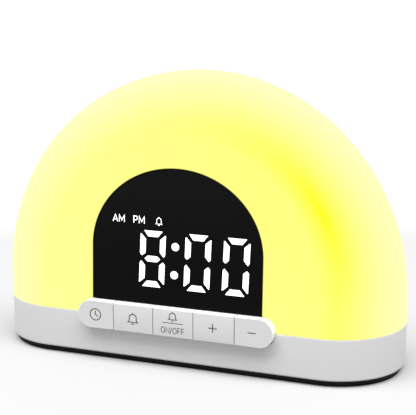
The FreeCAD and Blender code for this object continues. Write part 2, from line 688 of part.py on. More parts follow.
def light_tray():
    """White deck that closes the base; its skirt lines the dome up with the base."""
    body = new_body("light_tray")
    deck = sketch_on(body, "XY_Plane", DECK_LOW)
    plan_outline(deck, "Sizes.TrayInset")
    pad(body, deck, "Sizes.TrayDeck")
    skirts = ((f"{DECK_LOW} - Sizes.SkirtBelow", "Sizes.SkirtBelow"), (DECK_TOP, "Sizes.SkirtAbove"))
    for start, height in skirts:
        skirt = sketch_on(body, "XY_Plane", start)
        plan_outline(skirt, "Sizes.TrayInset")
        plan_outline(skirt, "Sizes.TrayInset + Sizes.TrayWall")
        pad(body, skirt, height)
        relief = sketch_on(body, "XY_Plane", start)
        corner_circles(relief, "Sizes.ColumnRadius + Sizes.BossRelief")
        pocket(body, relief, height)
    bosses = sketch_on(body, "XY_Plane", f"{DECK_LOW} - Sizes.LampBossDepth")
    for sign in ("-", ""):
        circle(bosses, f"{sign}Sizes.LampScrewFromMiddle", "Sizes.LampMiddle", "Sizes.LampBossRadius")
    pad(body, bosses, "Sizes.LampBossDepth")
    pilots = sketch_on(body, "XY_Plane", f"{DECK_LOW} - Sizes.LampBossDepth")
    for sign in ("-", ""):
        circle(
            pilots, f"{sign}Sizes.LampScrewFromMiddle", "Sizes.LampMiddle",
            "Sizes.SmallScrewRadius + Sizes.ThreadGap",
        )
    pocket(body, pilots, "Sizes.LampBossDepth + Sizes.TrayDeck")
    holes = sketch_on(body, "XY_Plane", DECK_LOW)
    corner_circles(holes, "Sizes.CaseScrewRadius + Sizes.ScrewGap")
    pocket(body, holes, "Sizes.TrayDeck")
    notch = sketch_on(body, "XY_Plane", f"{DECK_LOW} - Sizes.SkirtBelow")
    rectangle(
        notch, f"-{NOTCH_HALF}", NOTCH_HALF, f"-{HALF_DEPTH}",
        f"-{HALF_DEPTH} + Sizes.NotchDepth",
    )
    pocket(body, notch, "Sizes.SkirtBelow + Sizes.TrayDeck + Sizes.SkirtAbove")


# Dome with its window and bosses.

def ear_places():
    """Middles of the display frame's four ears, on the leaning front plane."""
    half = size("Sizes.WindowHalfWidth")
    rise = size("Sizes.WindowRise")
    offset = size("Sizes.EarOffset")
    angle = math.radians(size("Sizes.UpperEarAngle"))
    normal = Vector(math.cos(angle) / half, 0, math.sin(angle) / rise).normalize()
    edge = Vector(half * math.cos(angle), 0, size("Sizes.WindowSpring") + rise * math.sin(angle))
    upper = edge + normal * offset
    lower = Vector(half + offset, 0, size("Sizes.LowerEarHeight"))
    return [Vector(sign * place.x, 0, place.z) for place in (lower, upper) for sign in (-1, 1)]


def window_face(grow, low):
    """Window outline on the leaning plane, grown all round, from a level bottom edge."""
    half = size("Sizes.WindowHalfWidth") + grow
    return arch_face(half, size("Sizes.WindowRise") + grow, size("Sizes.WindowSpring"), low)


def ear_bosses(radius, front, back):
    """Cylinders behind the front wall on the ears' axes."""
    depth = Vector(0, 1, 0)
    parts = [
        Part.makeCylinder(radius, back - front, place + Vector(0, front, 0), depth) for place in ear_places()
    ]
    return Part.makeCompound(parts)


def diffuser_dome():
    """One-piece opal shell, open below, with bosses for the case screws and the display screws."""
    seam = size(SEAM)
    wall = size("Sizes.DomeWall")
    outer = dome_form("dome_outside", 0.0, seam)
    inner = dome_form("dome_inside", wall, seam - OVERSIZE)
    shell = subtract("dome_shell", outer, inner)
    bosses = []
    pilots = []
    for sign_x in ("-", ""):
        for sign_y in ("-", ""):
            x, y = f"{sign_x}{COLUMN_X}", f"{sign_y}{COLUMN_Y}"
            height = "Sizes.BossHeight"
            bosses.append(cylinder("dome_boss", "Sizes.ColumnRadius", height, x, y, DECK_TOP))
            bore = "Sizes.CaseScrewRadius + Sizes.ThreadGap"
            pilots.append(cylinder("dome_pilot", bore, f"{height} - Sizes.DomeWall / 2", x, y, DECK_TOP))
    ear_back = size("Sizes.FrameBack - Sizes.EarThickness")
    ears = feature_of("ear_bosses", ear_bosses(size("Sizes.EarRadius"), wall / 2, ear_back), LEAN)
    bore = size("Sizes.SmallScrewRadius + Sizes.ThreadGap")
    ear_pilots = feature_of("ear_pilots", ear_bosses(bore, wall, ear_back + OVERSIZE), LEAN)
    solid = fuse("dome_solid", [shell] + bosses + [ears])
    window = feature_of("window_tool", between(window_face(0.0, 0.0), -OVERSIZE, wall + 1.0), LEAN)
    keys = doc.addObject("PartDesign::Body", "dome_key_tool")
    opening = sketch_on(keys, "XZ_Plane", GUIDE_FRONT)
    pill(opening, *KEY_OPENING)
    pad(keys, opening, HALF_DEPTH)
    tools = fuse("dome_tools", pilots + [ear_pilots, window, keys])
    keep(subtract("diffuser_dome", solid, tools), "diffuser_dome")


# Display, built on the leaning front plane: x to the right, y into the clock, z up the plane.

def segment_shapes():
    """Seven segment faces of one upright figure about its middle, lettered a to g."""
    tall = size("Sizes.DigitHeight") / 2
    wide = size("Sizes.DigitWidth") / 2
    stroke = size("Sizes.StrokeWidth")
    inner = wide - stroke
    top = [
        (-wide * 0.74, tall), (wide * 0.74, tall),
        (inner * 0.7, tall - stroke), (-inner * 0.7, tall - stroke),
    ]
    upper_left = [
        (-wide, tall - stroke * 0.58), (-wide + stroke * 0.15, tall - stroke * 0.58),
        (-inner, tall - stroke * 1.45), (-inner, stroke * 0.95), (-wide + stroke * 0.37, stroke * 0.44),
        (-wide, stroke * 0.84),
    ]
    upper_right = [
        (wide, tall - stroke * 0.68), (wide, stroke * 0.71), (wide - stroke * 0.27, stroke * 0.38),
        (inner, stroke * 1.17), (inner, tall - stroke * 1.41), (wide - stroke * 0.15, tall - stroke * 0.68),
    ]
    bar = [
        (-wide * 0.63, 0), (-wide * 0.38, stroke / 2), (wide * 0.38, stroke / 2),
        (wide * 0.63, 0), (wide * 0.38, -stroke / 2), (-wide * 0.38, -stroke / 2),
    ]
    half = {"a": top, "f": upper_left, "b": upper_right}
    turned = {"d": "a", "c": "f", "e": "b"}
    shapes = dict(half)
    shapes.update({name: [(-x, -z) for x, z in half[source]] for name, source in turned.items()})
    shapes["g"] = bar
    return shapes


def sign_faces(grow):
    """Faces of every lit area: four figures, the colon and three status signs, grown all round."""
    middle = size("Sizes.DigitMiddle")
    slant = size("Sizes.DigitSlant")
    hours = size("Sizes.HoursUnit")
    pitch = size("Sizes.DigitPitch")
    minutes = hours - pitch + size("Sizes.PairPitch")
    faces = []
    for centre in (hours - pitch, hours, minutes, minutes + pitch):
        for corners in segment_shapes().values():
            placed = [(centre + x + slant * z, middle + z) for x, z in corners]
            face = standing_polygon(placed)
            faces.append(face.makeOffset2D(grow, join=2) if grow else face)
    for sign in (-1, 1):
        spread = sign * size("Sizes.ColonSpread")
        centre = Vector(size("Sizes.ColonMiddle") + slant * spread, 0, middle + spread)
        dot = Part.makeCircle(size("Sizes.ColonRadius") + grow, centre, Vector(0, 1, 0))
        faces.append(Part.Face(Part.Wire([dot])))
    low = size("Sizes.SignHeight - Sizes.SignHalfHeight") - grow
    high = size("Sizes.SignHeight + Sizes.SignHalfHeight") + grow
    signs = (
        ("MorningMiddle", "SignHalfWidth"),
        ("EveningMiddle", "SignHalfWidth"),
        ("BellMiddle", "BellHalfWidth"),
    )
    for place, width in signs:
        x = size(f"Sizes.{place}")
        half = size(f"Sizes.{width}") + grow
        faces.append(standing_polygon([(x - half, low), (x + half, low), (x + half, high), (x - half, high)]))
    return faces


def prisms(faces, front, back):
    """Each face extruded between two depths."""
    return Part.makeCompound([between(face, front, back) for face in faces])


def display_lens():
    """Smoked lens, flush with the dome's front, that ends above the keys."""
    low = size("Sizes.KeyMiddle + Sizes.KeyHalfHeight + Sizes.KeyGap + Sizes.LensGap")
    plate = between(window_face(-size("Sizes.LensGap"), low), 0.0, size("Sizes.LensThickness"))
    keep(feature_of("display_lens", plate, LEAN), "display_lens")


def display_frame():
    """Black moulding behind the lens with a light channel for each lit area, four ears and stakes."""
    lens_back = size("Sizes.LensThickness")
    wall_back = size("Sizes.DomeWall + Sizes.FrameGap")
    back = size("Sizes.FrameBack")
    low = size("Sizes.FrameLow")
    front_part = between(window_face(-size("Sizes.FrameGap"), low), lens_back, wall_back)
    rear_part = between(window_face(size("Sizes.FrameRim"), low), wall_back, back)
    ear_front = back - size("Sizes.EarThickness")
    ears = ear_bosses(size("Sizes.EarRadius"), ear_front, back)
    stakes = []
    for place in stake_places():
        base = place + Vector(0, back, 0)
        reach = 2 * size("Sizes.BoardThickness")
        stakes.append(Part.makeCylinder(size("Sizes.StakeRadius"), reach, base, Vector(0, 1, 0)))
    arms = []
    for ear in ear_places():
        centre = Vector(ear.x * 0.86, 0, ear.z)
        half = size("Sizes.EarRadius")
        arm = standing_polygon([
            (centre.x - half * 1.4, centre.z - half), (centre.x + half * 1.4, centre.z - half),
            (centre.x + half * 1.4, centre.z + half), (centre.x - half * 1.4, centre.z + half),
        ])
        arms.append(between(arm, ear_front, back))
    body = front_part.multiFuse([rear_part] + ears.Solids + arms + stakes).removeSplitter()
    holes = ear_bosses(size("Sizes.SmallScrewRadius + Sizes.ScrewGap"), 0.0, back + OVERSIZE)
    channels = prisms(sign_faces(size("Sizes.ChannelGap")), 0.0, back + OVERSIZE)
    solid = feature_of("display_frame_solid", body, LEAN)
    openings = feature_of("display_frame_openings", Part.makeCompound([holes, channels]), LEAN)
    keep(subtract("display_frame", solid, openings), "display_frame")


def stake_places():
    """Stakes that hold the display board, two low and two high on the leaning plane."""
    half = size("Sizes.WindowHalfWidth")
    low = size("Sizes.FrameLow") + 5.0
    high = size("Sizes.WindowSpring") + size("Sizes.WindowRise") * 0.62
    return [Vector(sign * x, 0, z) for x, z in ((half * 0.9, low), (half * 0.6, high)) for sign in (-1, 1)]


def segment_guides():
    """Milky light guides that fill the frame's channels behind the lens."""
    front = size("Sizes.LensThickness")
    shape = prisms(sign_faces(0.0), front, front + size("Sizes.GuideDepth"))
    keep(feature_of("segment_guides", shape, LEAN), "segment_guides")


def display_board():
    """Arched circuit board staked to the back of the display frame."""
    back = size("Sizes.FrameBack")
    thick = size("Sizes.BoardThickness")
    plate = between(window_face(-size("Sizes.BoardInset"), size("Sizes.FrameLow") + 1.0), back, back + thick)
    radius = size("Sizes.StakeRadius + Sizes.StakeGap")
    holes = [
        Part.makeCylinder(radius, 3 * thick, place + Vector(0, back - thick, 0), Vector(0, 1, 0))
        for place in stake_places()
    ]
    keep(feature_of("display_board", plate.cut(Part.makeCompound(holes)), LEAN), "display_board")


def display_leds():
    """One small LED behind each lit area."""
    back = size("Sizes.FrameBack")
    depth = back - size("Sizes.LensThickness + Sizes.GuideDepth") - 0.2
    chips = []
    for face in sign_faces(0.0):
        centre = face.CenterOfMass
        chips.append(Part.makeBox(1.6, depth, 0.8, Vector(centre.x - 0.8, back - depth, centre.z - 0.4)))
    keep(feature_of("display_leds", Part.makeCompound(chips), LEAN), "display_leds")


def display_screws():
    """Screws through the frame's ears into the dome's bosses."""
    back = size("Sizes.FrameBack")
    places = [place + Vector(0, back, 0) for place in ear_places()]
    shape = screw_set(
        places, Vector(0, -1, 0), size("Sizes.SmallScrewHead"),
        size("Sizes.SmallHeadHeight"), size("Sizes.SmallScrewRadius"),
        back - size("Sizes.DomeWall") - DISPLAY_TIP_CLEAR,
    )
    keep(feature_of("display_screws", shape, LEAN), "display_screws")


# Keys and switches. On XZ sketches a height counts towards the front, so a pad goes forwards.

def key_span(index):
    """Left and right sides of a key as expressions."""
    last = len(KEYS) - 1
    left = f"(Sizes.KeyPitch * {index - last / 2 - 0.5} + Sizes.KeySplit / 2)"
    right = f"(Sizes.KeyPitch * {index - last / 2 + 0.5} - Sizes.KeySplit / 2)"
    if index == 0:
        left = "-Sizes.KeyRowHalfWidth"
    if index == last:
        right = "Sizes.KeyRowHalfWidth"
    return left, right


def key_cap(sketch, index):
    """Outline of a key's face: square in the middle of the row, round at its ends."""
    left, right = key_span(index)
    low = f"{KEY_MIDDLE} - Sizes.KeyHalfHeight"
    high = f"{KEY_MIDDLE} + Sizes.KeyHalfHeight"
    last = len(KEYS) - 1
    if 0 < index < last:
        rectangle(sketch, left, right, low, high)
        return
    sign = -1 if index == 0 else 1
    flat, tip = (right, left) if index == 0 else (left, right)
    centre = f"({tip} + Sizes.KeyHalfHeight)" if index == 0 else f"({tip} - Sizes.KeyHalfHeight)"
    r = size("Sizes.KeyHalfHeight")
    middle = Vector(size(centre), size(KEY_MIDDLE), 0)
    start = -math.pi / 2 if sign > 0 else math.pi / 2
    arc = Part.ArcOfCircle(Part.Circle(middle, Vector(0, 0, 1), r), start, start + math.pi)
    sketch.addGeometry(arc, False)
    first_end = sketch.getPoint(0, 2)
    last_end = sketch.getPoint(0, 1)
    flat_x = size(flat)
    sketch.addGeometry(Part.LineSegment(first_end, Vector(flat_x, first_end.y, 0)), False)
    sketch.addGeometry(Part.LineSegment(Vector(flat_x, first_end.y, 0), Vector(flat_x, last_end.y, 0)), False)
    sketch.addGeometry(Part.LineSegment(Vector(flat_x, last_end.y, 0), last_end), False)
    sketch.addConstraint(Sketcher.Constraint("Tangent", 0, 2, 1, 1))
    sketch.addConstraint(Sketcher.Constraint("Coincident", 1, 2, 2, 1))
    sketch.addConstraint(Sketcher.Constraint("Coincident", 2, 2, 3, 1))
    sketch.addConstraint(Sketcher.Constraint("Tangent", 3, 2, 0, 1))
    sketch.addConstraint(Sketcher.Constraint("Horizontal", 1))
    sketch.addConstraint(Sketcher.Constraint("Vertical", 2))
    tie_radius(sketch, 0, "Sizes.KeyHalfHeight")
    pin(sketch, "DistanceX", 0, 3, centre)
    pin(sketch, "DistanceY", 0, 3, KEY_MIDDLE)
    pin(sketch, "DistanceX", 2, 1, flat)


def stem_middle(index):
    """Middle of a key's stem and switch."""
    return f"(Sizes.KeyPitch * {index - (len(KEYS) - 1) / 2})"


def key(index):
    """Key cap with a retaining flange behind the wall and a stem that reaches its plunger."""
    label = f"key_{KEYS[index]}"
    body = new_body(label)
    left, right = key_span(index)
    cap = sketch_on(body, "XZ_Plane", FLANGE_FRONT)
    key_cap(cap, index)
    solid = pad(body, cap, f"{HALF_DEPTH} + Sizes.KeyStand - {FLANGE_FRONT}")
    face = -size(f"{HALF_DEPTH} + Sizes.KeyStand")
    dress(body, "Fillet", solid, lambda edge: flat_at(edge, "Y", face), "Sizes.KeyEdge", "Radius")
    flange = sketch_on(body, "XZ_Plane", FLANGE_FRONT)
    rim = "(Sizes.KeyGap + Sizes.FlangeRim)"
    far_left = f"{left} - {rim}" if index == 0 else left
    far_right = f"{right} + {rim}" if index == len(KEYS) - 1 else right
    rectangle(
        flange, far_left, far_right, f"{KEY_MIDDLE} - Sizes.KeyHalfHeight - {rim}",
        f"{KEY_MIDDLE} + Sizes.KeyHalfHeight + {rim}",
    )
    pad(body, flange, "Sizes.FlangeThickness", back=True)
    stem = sketch_on(body, "XZ_Plane", FLANGE_BACK)
    middle = stem_middle(index)
    rectangle(
        stem, f"{middle} - Sizes.StemHalfWidth", f"{middle} + Sizes.StemHalfWidth",
        f"{KEY_MIDDLE} - Sizes.StemHalfHeight", f"{KEY_MIDDLE} + Sizes.StemHalfHeight",
    )
    pad(body, stem, "Sizes.StemLength", back=True)


def plunger(index):
    """Switch plunger that the key's stem pushes."""
    label = f"plunger_{KEYS[index]}"
    case_front = f"({SWITCH_FRONT} + Sizes.SwitchDepth)"
    length = f"{STEM_BACK} - {case_front} + Sizes.PlungerInside"
    back = f"-{STEM_BACK}"
    piece = cylinder(label, "Sizes.PlungerRadius", length, stem_middle(index), back, KEY_MIDDLE, "Y")
    keep(piece, label)


def key_guide():
    """White plate with a window for each stem, and two spacers for the switch board."""
    body = new_body("key_guide")
    plate = sketch_on(body, "XZ_Plane", GUIDE_BACK)
    low = f"{SEAM} - Sizes.GuideBottom"
    high = f"{SEAM} + Sizes.GuideTop"
    rectangle(plate, f"-{GUIDE_HALF}", GUIDE_HALF, low, high)
    pad(body, plate, "Sizes.GuideThickness")
    spacers = sketch_on(body, "XZ_Plane", GUIDE_BACK)
    holes = sketch_on(body, "XZ_Plane", GUIDE_FRONT)
    for sign in ("-", ""):
        circle(spacers, f"{sign}{POST_X}", POST_HEIGHT, "Sizes.PostRadius")
        circle(holes, f"{sign}{POST_X}", POST_HEIGHT, "Sizes.SmallScrewRadius + Sizes.ScrewGap")
    pad(body, spacers, "Sizes.SpacerLength", back=True)
    pocket(body, holes, "Sizes.GuideThickness + Sizes.SpacerLength", back=True)
    windows = sketch_on(body, "XZ_Plane", GUIDE_FRONT)
    for index in range(len(KEYS)):
        middle = stem_middle(index)
        wide = "(Sizes.StemHalfWidth + Sizes.GuideGap)"
        tall = "(Sizes.StemHalfHeight + Sizes.GuideGap)"
        window_low = f"{KEY_MIDDLE} - {tall}"
        window_high = f"{KEY_MIDDLE} + {tall}"
        rectangle(windows, f"{middle} - {wide}", f"{middle} + {wide}", window_low, window_high)
    pocket(body, windows, "Sizes.GuideThickness", back=True)


def switch_board():
    """Upright circuit board behind the keys."""
    body = new_body("switch_board")
    plate = sketch_on(body, "XZ_Plane", SWITCH_BACK)
    low = f"{SEAM} - Sizes.GuideBottom"
    high = f"{SEAM} + Sizes.GuideTop"
    rectangle(plate, f"-{GUIDE_HALF}", GUIDE_HALF, low, high)
    for sign in ("-", ""):
        circle(plate, f"{sign}{POST_X}", POST_HEIGHT, "Sizes.SmallScrewRadius + Sizes.ScrewGap")
    pad(body, plate, "Sizes.BoardThickness")


def switch_cases():
    """Five tactile switch cases, each with a bore for its plunger."""
    cases = []
    front = f"({SWITCH_FRONT} + Sizes.SwitchDepth)"
    for index in range(len(KEYS)):
        middle = stem_middle(index)
        half = "Sizes.SwitchSide / 2"
        case = block(
            "switch_case", f"{middle} - {half}", f"{middle} + {half}", f"-{front}", f"-{SWITCH_FRONT}",
            f"{KEY_MIDDLE} - {half}", f"{KEY_MIDDLE} + {half}",
        )
        deep = "Sizes.PlungerInside + Sizes.PlungerRoom"
        radius = "Sizes.PlungerRadius + Sizes.PlungerGap"
        bore = cylinder("switch_bore", radius, deep, middle, f"-{front}", KEY_MIDDLE, "Y")
        cases.append(subtract("switch_body", case, bore))
    keep(group("switch_cases", cases), "switch_cases")


def key_screws():
    """Two screws that hold the switch board and key guide to the base's posts."""
    seat = -size(SWITCH_BACK)
    height = size(POST_HEIGHT)
    places = [Vector(sign * size(POST_X), seat, height) for sign in (-1, 1)]
    tip = size(f"{HALF_DEPTH} - Sizes.BaseWall / 2") - TIP_CLEAR
    shape = screw_set(
        places, Vector(0, -1, 0), size("Sizes.SmallScrewHead"),
        size("Sizes.SmallHeadHeight"), size("Sizes.SmallScrewRadius"), tip + seat,
    )
    keep(feature_of("key_screws", shape), "key_screws")


# Lamp board on the tray's deck.

def light_board():
    """White circuit board that carries the lamps."""
    body = new_body("light_board")
    plate = sketch_on(body, "XY_Plane", DECK_TOP)
    half = LAMP_HALF
    rectangle(
        plate, "-Sizes.LampHalfLength", "Sizes.LampHalfLength", f"Sizes.LampMiddle - {half}",
        f"Sizes.LampMiddle + {half}",
    )
    for sign in ("-", ""):
        circle(
            plate, f"{sign}Sizes.LampScrewFromMiddle", "Sizes.LampMiddle",
            "Sizes.SmallScrewRadius + Sizes.ScrewGap",
        )
    pad(body, plate, "Sizes.BoardThickness")


def lamp_leds():
    """Two rows of warm lamps."""
    lamps = []
    low = f"({DECK_TOP} + Sizes.BoardThickness)"
    half = "Sizes.LampSide / 2"
    for row_sign in ("-", "+"):
        y = f"(Sizes.LampMiddle {row_sign} Sizes.LampRow)"
        for i in range(LAMPS_IN_ROW):
            x = f"(Sizes.LampPitch * {i - (LAMPS_IN_ROW - 1) / 2})"
            lamps.append(block(
                "lamp", f"{x} - {half}", f"{x} + {half}", f"{y} - {half}", f"{y} + {half}", low,
                f"{low} + Sizes.LampHeight",
            ))
    keep(group("lamp_leds", lamps), "lamp_leds")


def lamp_screws():
    """Two screws that hold the lamp board to the tray."""
    seat = size(f"{DECK_TOP} + Sizes.BoardThickness")
    places = [
        Vector(sign * size("Sizes.LampScrewFromMiddle"), size("Sizes.LampMiddle"), seat) for sign in (-1, 1)
    ]
    length = size("Sizes.BoardThickness + Sizes.TrayDeck + Sizes.LampBossDepth") - TIP_CLEAR
    shape = screw_set(
        places, Vector(0, 0, -1), size("Sizes.SmallScrewHead"),
        size("Sizes.SmallHeadHeight"), size("Sizes.SmallScrewRadius"), length,
    )
    keep(feature_of("lamp_screws", shape), "lamp_screws")


# Main board and what stands on it.

def main_board():
    """Level circuit board on the cover's standoffs."""
    body = new_body("main_board")
    plate = sketch_on(body, "XY_Plane", MAIN_LOW)
    rectangle(plate, "Sizes.MainLeft", "Sizes.MainRight", "Sizes.MainFront", MAIN_BACK)
    for x, y in STANDOFFS:
        circle(plate, x, y, "Sizes.SmallScrewRadius + Sizes.ScrewGap")
    pad(body, plate, "Sizes.BoardThickness")


def main_board_screws():
    """Four screws from above into the cover's standoffs."""
    seat = size(MAIN_TOP)
    places = [Vector(size(x), size(y), seat) for x, y in STANDOFFS]
    shape = screw_set(
        places, Vector(0, 0, -1), size("Sizes.SmallScrewHead"),
        size("Sizes.SmallHeadHeight"), size("Sizes.SmallScrewRadius"),
        size("Sizes.BoardThickness + Sizes.MainLow") - TIP_CLEAR,
    )
    keep(feature_of("main_board_screws", shape), "main_board_screws")


def usb_socket():
    """Steel shell of the power socket with its tongue, open to the rear."""
    body = new_body("usb_socket")
    mouth = f"({MAIN_BACK} + Sizes.SocketOverhang)"
    front = f"({mouth} - Sizes.SocketLength)"
    shell = sketch_on(body, "XZ_Plane", f"-{front}")
    pill(shell, "0", SOCKET_MIDDLE, "Sizes.SocketHalfWidth", "Sizes.SocketHalfHeight")
    pad(body, shell, "Sizes.SocketLength", back=True)
    hollow = sketch_on(body, "XZ_Plane", f"-{mouth}")
    wide = "(Sizes.SocketHalfWidth - Sizes.SocketWall)"
    tall = "(Sizes.SocketHalfHeight - Sizes.SocketWall)"
    pill(hollow, "0", SOCKET_MIDDLE, wide, tall)
    pocket(body, hollow, "Sizes.SocketLength - 4 * Sizes.SocketWall")
    tongue = sketch_on(body, "XZ_Plane", f"-{front}")
    half = f"({wide} * 0.8)"
    thick = "Sizes.SocketWall * 1.2"
    rectangle(tongue, f"-{half}", half, f"{SOCKET_MIDDLE} - {thick}", f"{SOCKET_MIDDLE} + {thick}")
    pad(body, tongue, "Sizes.SocketLength - 3 * Sizes.SocketWall", back=True)


def board_parts():
    """Controller, capacitors, cell holder, coin cell and the two board connectors."""
    chip = block(
        "controller_chip", "0", "Sizes.ChipSide", "0", "Sizes.ChipSide", MAIN_TOP,
        f"{MAIN_TOP} + Sizes.ChipHeight",
    )
    keep(chip, "controller_chip")
    x = "(Sizes.MainLeft + 8 * Sizes.CanRadius + Sizes.StandoffInset * 4)"
    cans = []
    for sign in ("-1", "1"):
        y = f"{sign} * 1.5 * Sizes.CanRadius + Sizes.LampMiddle"
        cans.append(cylinder("can", "Sizes.CanRadius", "Sizes.CanHeight", x, y, MAIN_TOP))
    keep(group("capacitors", cans), "capacitors")
    holder = new_body("cell_holder")
    ring = sketch_on(holder, "XY_Plane", MAIN_TOP)
    outside = "Sizes.CellRadius + Sizes.CellGap + Sizes.HolderWall"
    circle(ring, "Sizes.CellMiddleX", "Sizes.CellMiddleY", outside)
    pad(holder, ring, "Sizes.HolderFloor + Sizes.CellThickness * 0.6")
    well = sketch_on(holder, "XY_Plane", f"{MAIN_TOP} + Sizes.HolderFloor")
    circle(well, "Sizes.CellMiddleX", "Sizes.CellMiddleY", "Sizes.CellRadius + Sizes.CellGap")
    pocket(holder, well, "Sizes.CellThickness")
    cell = cylinder(
        "coin_cell", "Sizes.CellRadius", "Sizes.CellThickness", "Sizes.CellMiddleX", "Sizes.CellMiddleY",
        f"{MAIN_TOP} + Sizes.HolderFloor",
    )
    keep(cell, "coin_cell")


def speaker():
    """Oval speaker glued inside the rear wall: frame, cone and magnet."""
    body = new_body("speaker_frame")
    face = sketch_on(body, "XZ_Plane", f"-{BACK_INSIDE}")
    pill(face, SPEAKER_X, SPEAKER_MIDDLE, "Sizes.SpeakerHalfWidth", "Sizes.SpeakerHalfHeight")
    pad(body, face, "Sizes.SpeakerDepth")
    well = sketch_on(body, "XZ_Plane", f"-{BACK_INSIDE}")
    wide = "(Sizes.SpeakerHalfWidth - Sizes.SpeakerRim)"
    tall = "(Sizes.SpeakerHalfHeight - Sizes.SpeakerRim)"
    pill(well, SPEAKER_X, SPEAKER_MIDDLE, wide, tall)
    pocket(body, well, "Sizes.ConeSet + Sizes.ConeThickness")
    cone = new_body("speaker_cone")
    disc = sketch_on(cone, "XZ_Plane", f"-{BACK_INSIDE} + Sizes.ConeSet")
    pill(disc, SPEAKER_X, SPEAKER_MIDDLE, wide, tall)
    pad(cone, disc, "Sizes.ConeThickness")
    back = f"({BACK_INSIDE} - Sizes.SpeakerDepth)"
    magnet = block(
        "speaker_magnet", f"{SPEAKER_X} - Sizes.MagnetHalfWidth",
        f"{SPEAKER_X} + Sizes.MagnetHalfWidth", f"{back} - Sizes.MagnetDepth", back,
        f"{SPEAKER_MIDDLE} - Sizes.MagnetHalfHeight", f"{SPEAKER_MIDDLE} + Sizes.MagnetHalfHeight",
    )
    keep(magnet, "speaker_magnet")


def bent_path(points, bend):
    """Wire through corner points, each corner rounded to one radius."""
    edges = []
    start = points[0]
    for before, corner, after in zip(points, points[1:], points[2:]):
        back = (before - corner).normalize()
        ahead = (after - corner).normalize()
        cut = bend / math.tan(back.getAngle(ahead) / 2)
        first = corner + back * cut
        last = corner + ahead * cut
        middle_way = (back + ahead).normalize()
        centre = corner + middle_way * math.hypot(bend, cut)
        edges.append(Part.makeLine(start, first))
        edges.append(Part.Arc(first, centre - middle_way * bend, last).toShape())
        start = last
    edges.append(Part.makeLine(start, points[-1]))
    return Part.Wire(edges)


def speaker_leads():
    """Pair of leads from the speaker's magnet to the connector on the main board."""
    radius = size("Sizes.LeadRadius")
    bend = size("Sizes.LeadBend")
    start_y = size(f"{BACK_INSIDE} - Sizes.SpeakerDepth - Sizes.MagnetDepth")
    x = size(SPEAKER_X)
    end_x = size("Sizes.MainLeft")
    turn_y = size(f"Sizes.MainFront + {MAIN_BACK}") / 2
    leads = []
    for lift in (-1, 1):
        z = size(f"{MAIN_TOP} + Sizes.ConnectorHeight / 2") + lift * 1.6 * radius
        points = [Vector(x, start_y, z), Vector(x, turn_y, z), Vector(end_x, turn_y, z)]
        path = bent_path(points, bend)
        section = Part.Wire([Part.makeCircle(radius, points[0], Vector(0, 1, 0))])
        leads.append(path.makePipeShell([section], True, False))
    keep(feature_of("speaker_leads", Part.makeCompound(leads)), "speaker_leads")


def connectors():
    """Connectors on the main board for the leads and the ribbon, and one on the display board."""
    turn = f"(Sizes.MainFront + {MAIN_BACK}) / 2"
    half = "Sizes.ConnectorDepth"
    lead_end = block(
        "lead_connector", "Sizes.MainLeft", "Sizes.MainLeft + Sizes.ConnectorDepth", f"{turn} - {half}",
        f"{turn} + {half}", MAIN_TOP, f"{MAIN_TOP} + Sizes.ConnectorHeight",
    )
    wide = "(Sizes.RibbonHalfWidth + 1)"
    ribbon_end = block(
        "ribbon_connector", f"-{wide}", wide, "Sizes.MainFront", "Sizes.MainFront + Sizes.ConnectorDepth",
        MAIN_TOP, f"{MAIN_TOP} + Sizes.ConnectorHeight",
    )
    keep(group("board_connectors", [lead_end, ribbon_end]), "board_connectors")
    wide = size("Sizes.RibbonHalfWidth") + 1
    front = size("Sizes.FrameBack + Sizes.BoardThickness")
    shape = Part.makeBox(
        2 * wide, size("Sizes.ConnectorHeight"), size("Sizes.ConnectorDepth"),
        Vector(-wide, front, size("Sizes.FrameLow") + 4.0),
    )
    keep(feature_of("display_connector", shape, LEAN), "display_connector")


def display_ribbon():
    """Flat cable from the display board, behind the switch board, to the main board."""
    thick = size("Sizes.RibbonThickness")
    half = size("Sizes.RibbonHalfWidth")
    middle = size("Sizes.FrameBack + Sizes.BoardThickness + Sizes.ConnectorHeight / 2")
    start = LEAN.multVec(Vector(0, middle, size("Sizes.FrameLow") + 4.0))
    drop = -size(SWITCH_BACK) + 3 * thick
    level = size(f"{MAIN_TOP} + Sizes.ConnectorHeight / 2")
    shelf = start.z - size("Sizes.RibbonBend") - 0.4
    points = [
        start, Vector(0, start.y, shelf), Vector(0, drop, shelf), Vector(0, drop, level),
        Vector(0, size("Sizes.MainFront"), level),
    ]
    path = bent_path(points, size("Sizes.RibbonBend"))
    corners = [
        start + Vector(-half, -thick / 2, 0), start + Vector(half, -thick / 2, 0),
        start + Vector(half, thick / 2, 0), start + Vector(-half, thick / 2, 0),
    ]
    section = Part.makePolygon(corners + corners[:1])
    shape = path.makePipeShell([section], True, False)
    keep(feature_of("display_ribbon", shape), "display_ribbon")


def check_and_write():
    """Stop on any failed object or bad shape, then write one STEP file for each node."""
    doc.recompute()
    bad = [item.Name for item in doc.Objects if "Invalid" in item.State or "Error" in item.State]
    if bad:
        raise RuntimeError("failed objects: " + ", ".join(bad))
    for piece in NODES:
        shape = piece.Shape
        if shape.isNull() or not shape.isValid() or not shape.Solids:
            raise RuntimeError("bad shape: " + piece.Label)
    os.makedirs("parts", exist_ok=True)
    for piece in NODES:
        piece.Shape.exportStep(f"parts/{piece.Label}.step")
        print(f"{piece.Label}: {len(piece.Shape.Solids)} solids, {piece.Shape.Volume:.1f} mm3")


foot_pad()
bottom_cover()
case_screws()
base_shell()
light_tray()
diffuser_dome()
display_lens()
display_frame()
segment_guides()
display_board()
display_leds()
display_screws()
for key_index in range(len(KEYS)):
    key(key_index)
    plunger(key_index)
key_guide()
switch_board()
switch_cases()
key_screws()
light_board()
lamp_leds()
lamp_screws()
main_board()
main_board_screws()
usb_socket()
board_parts()
speaker()
connectors()
speaker_leads()
display_ribbon()
check_and_write()
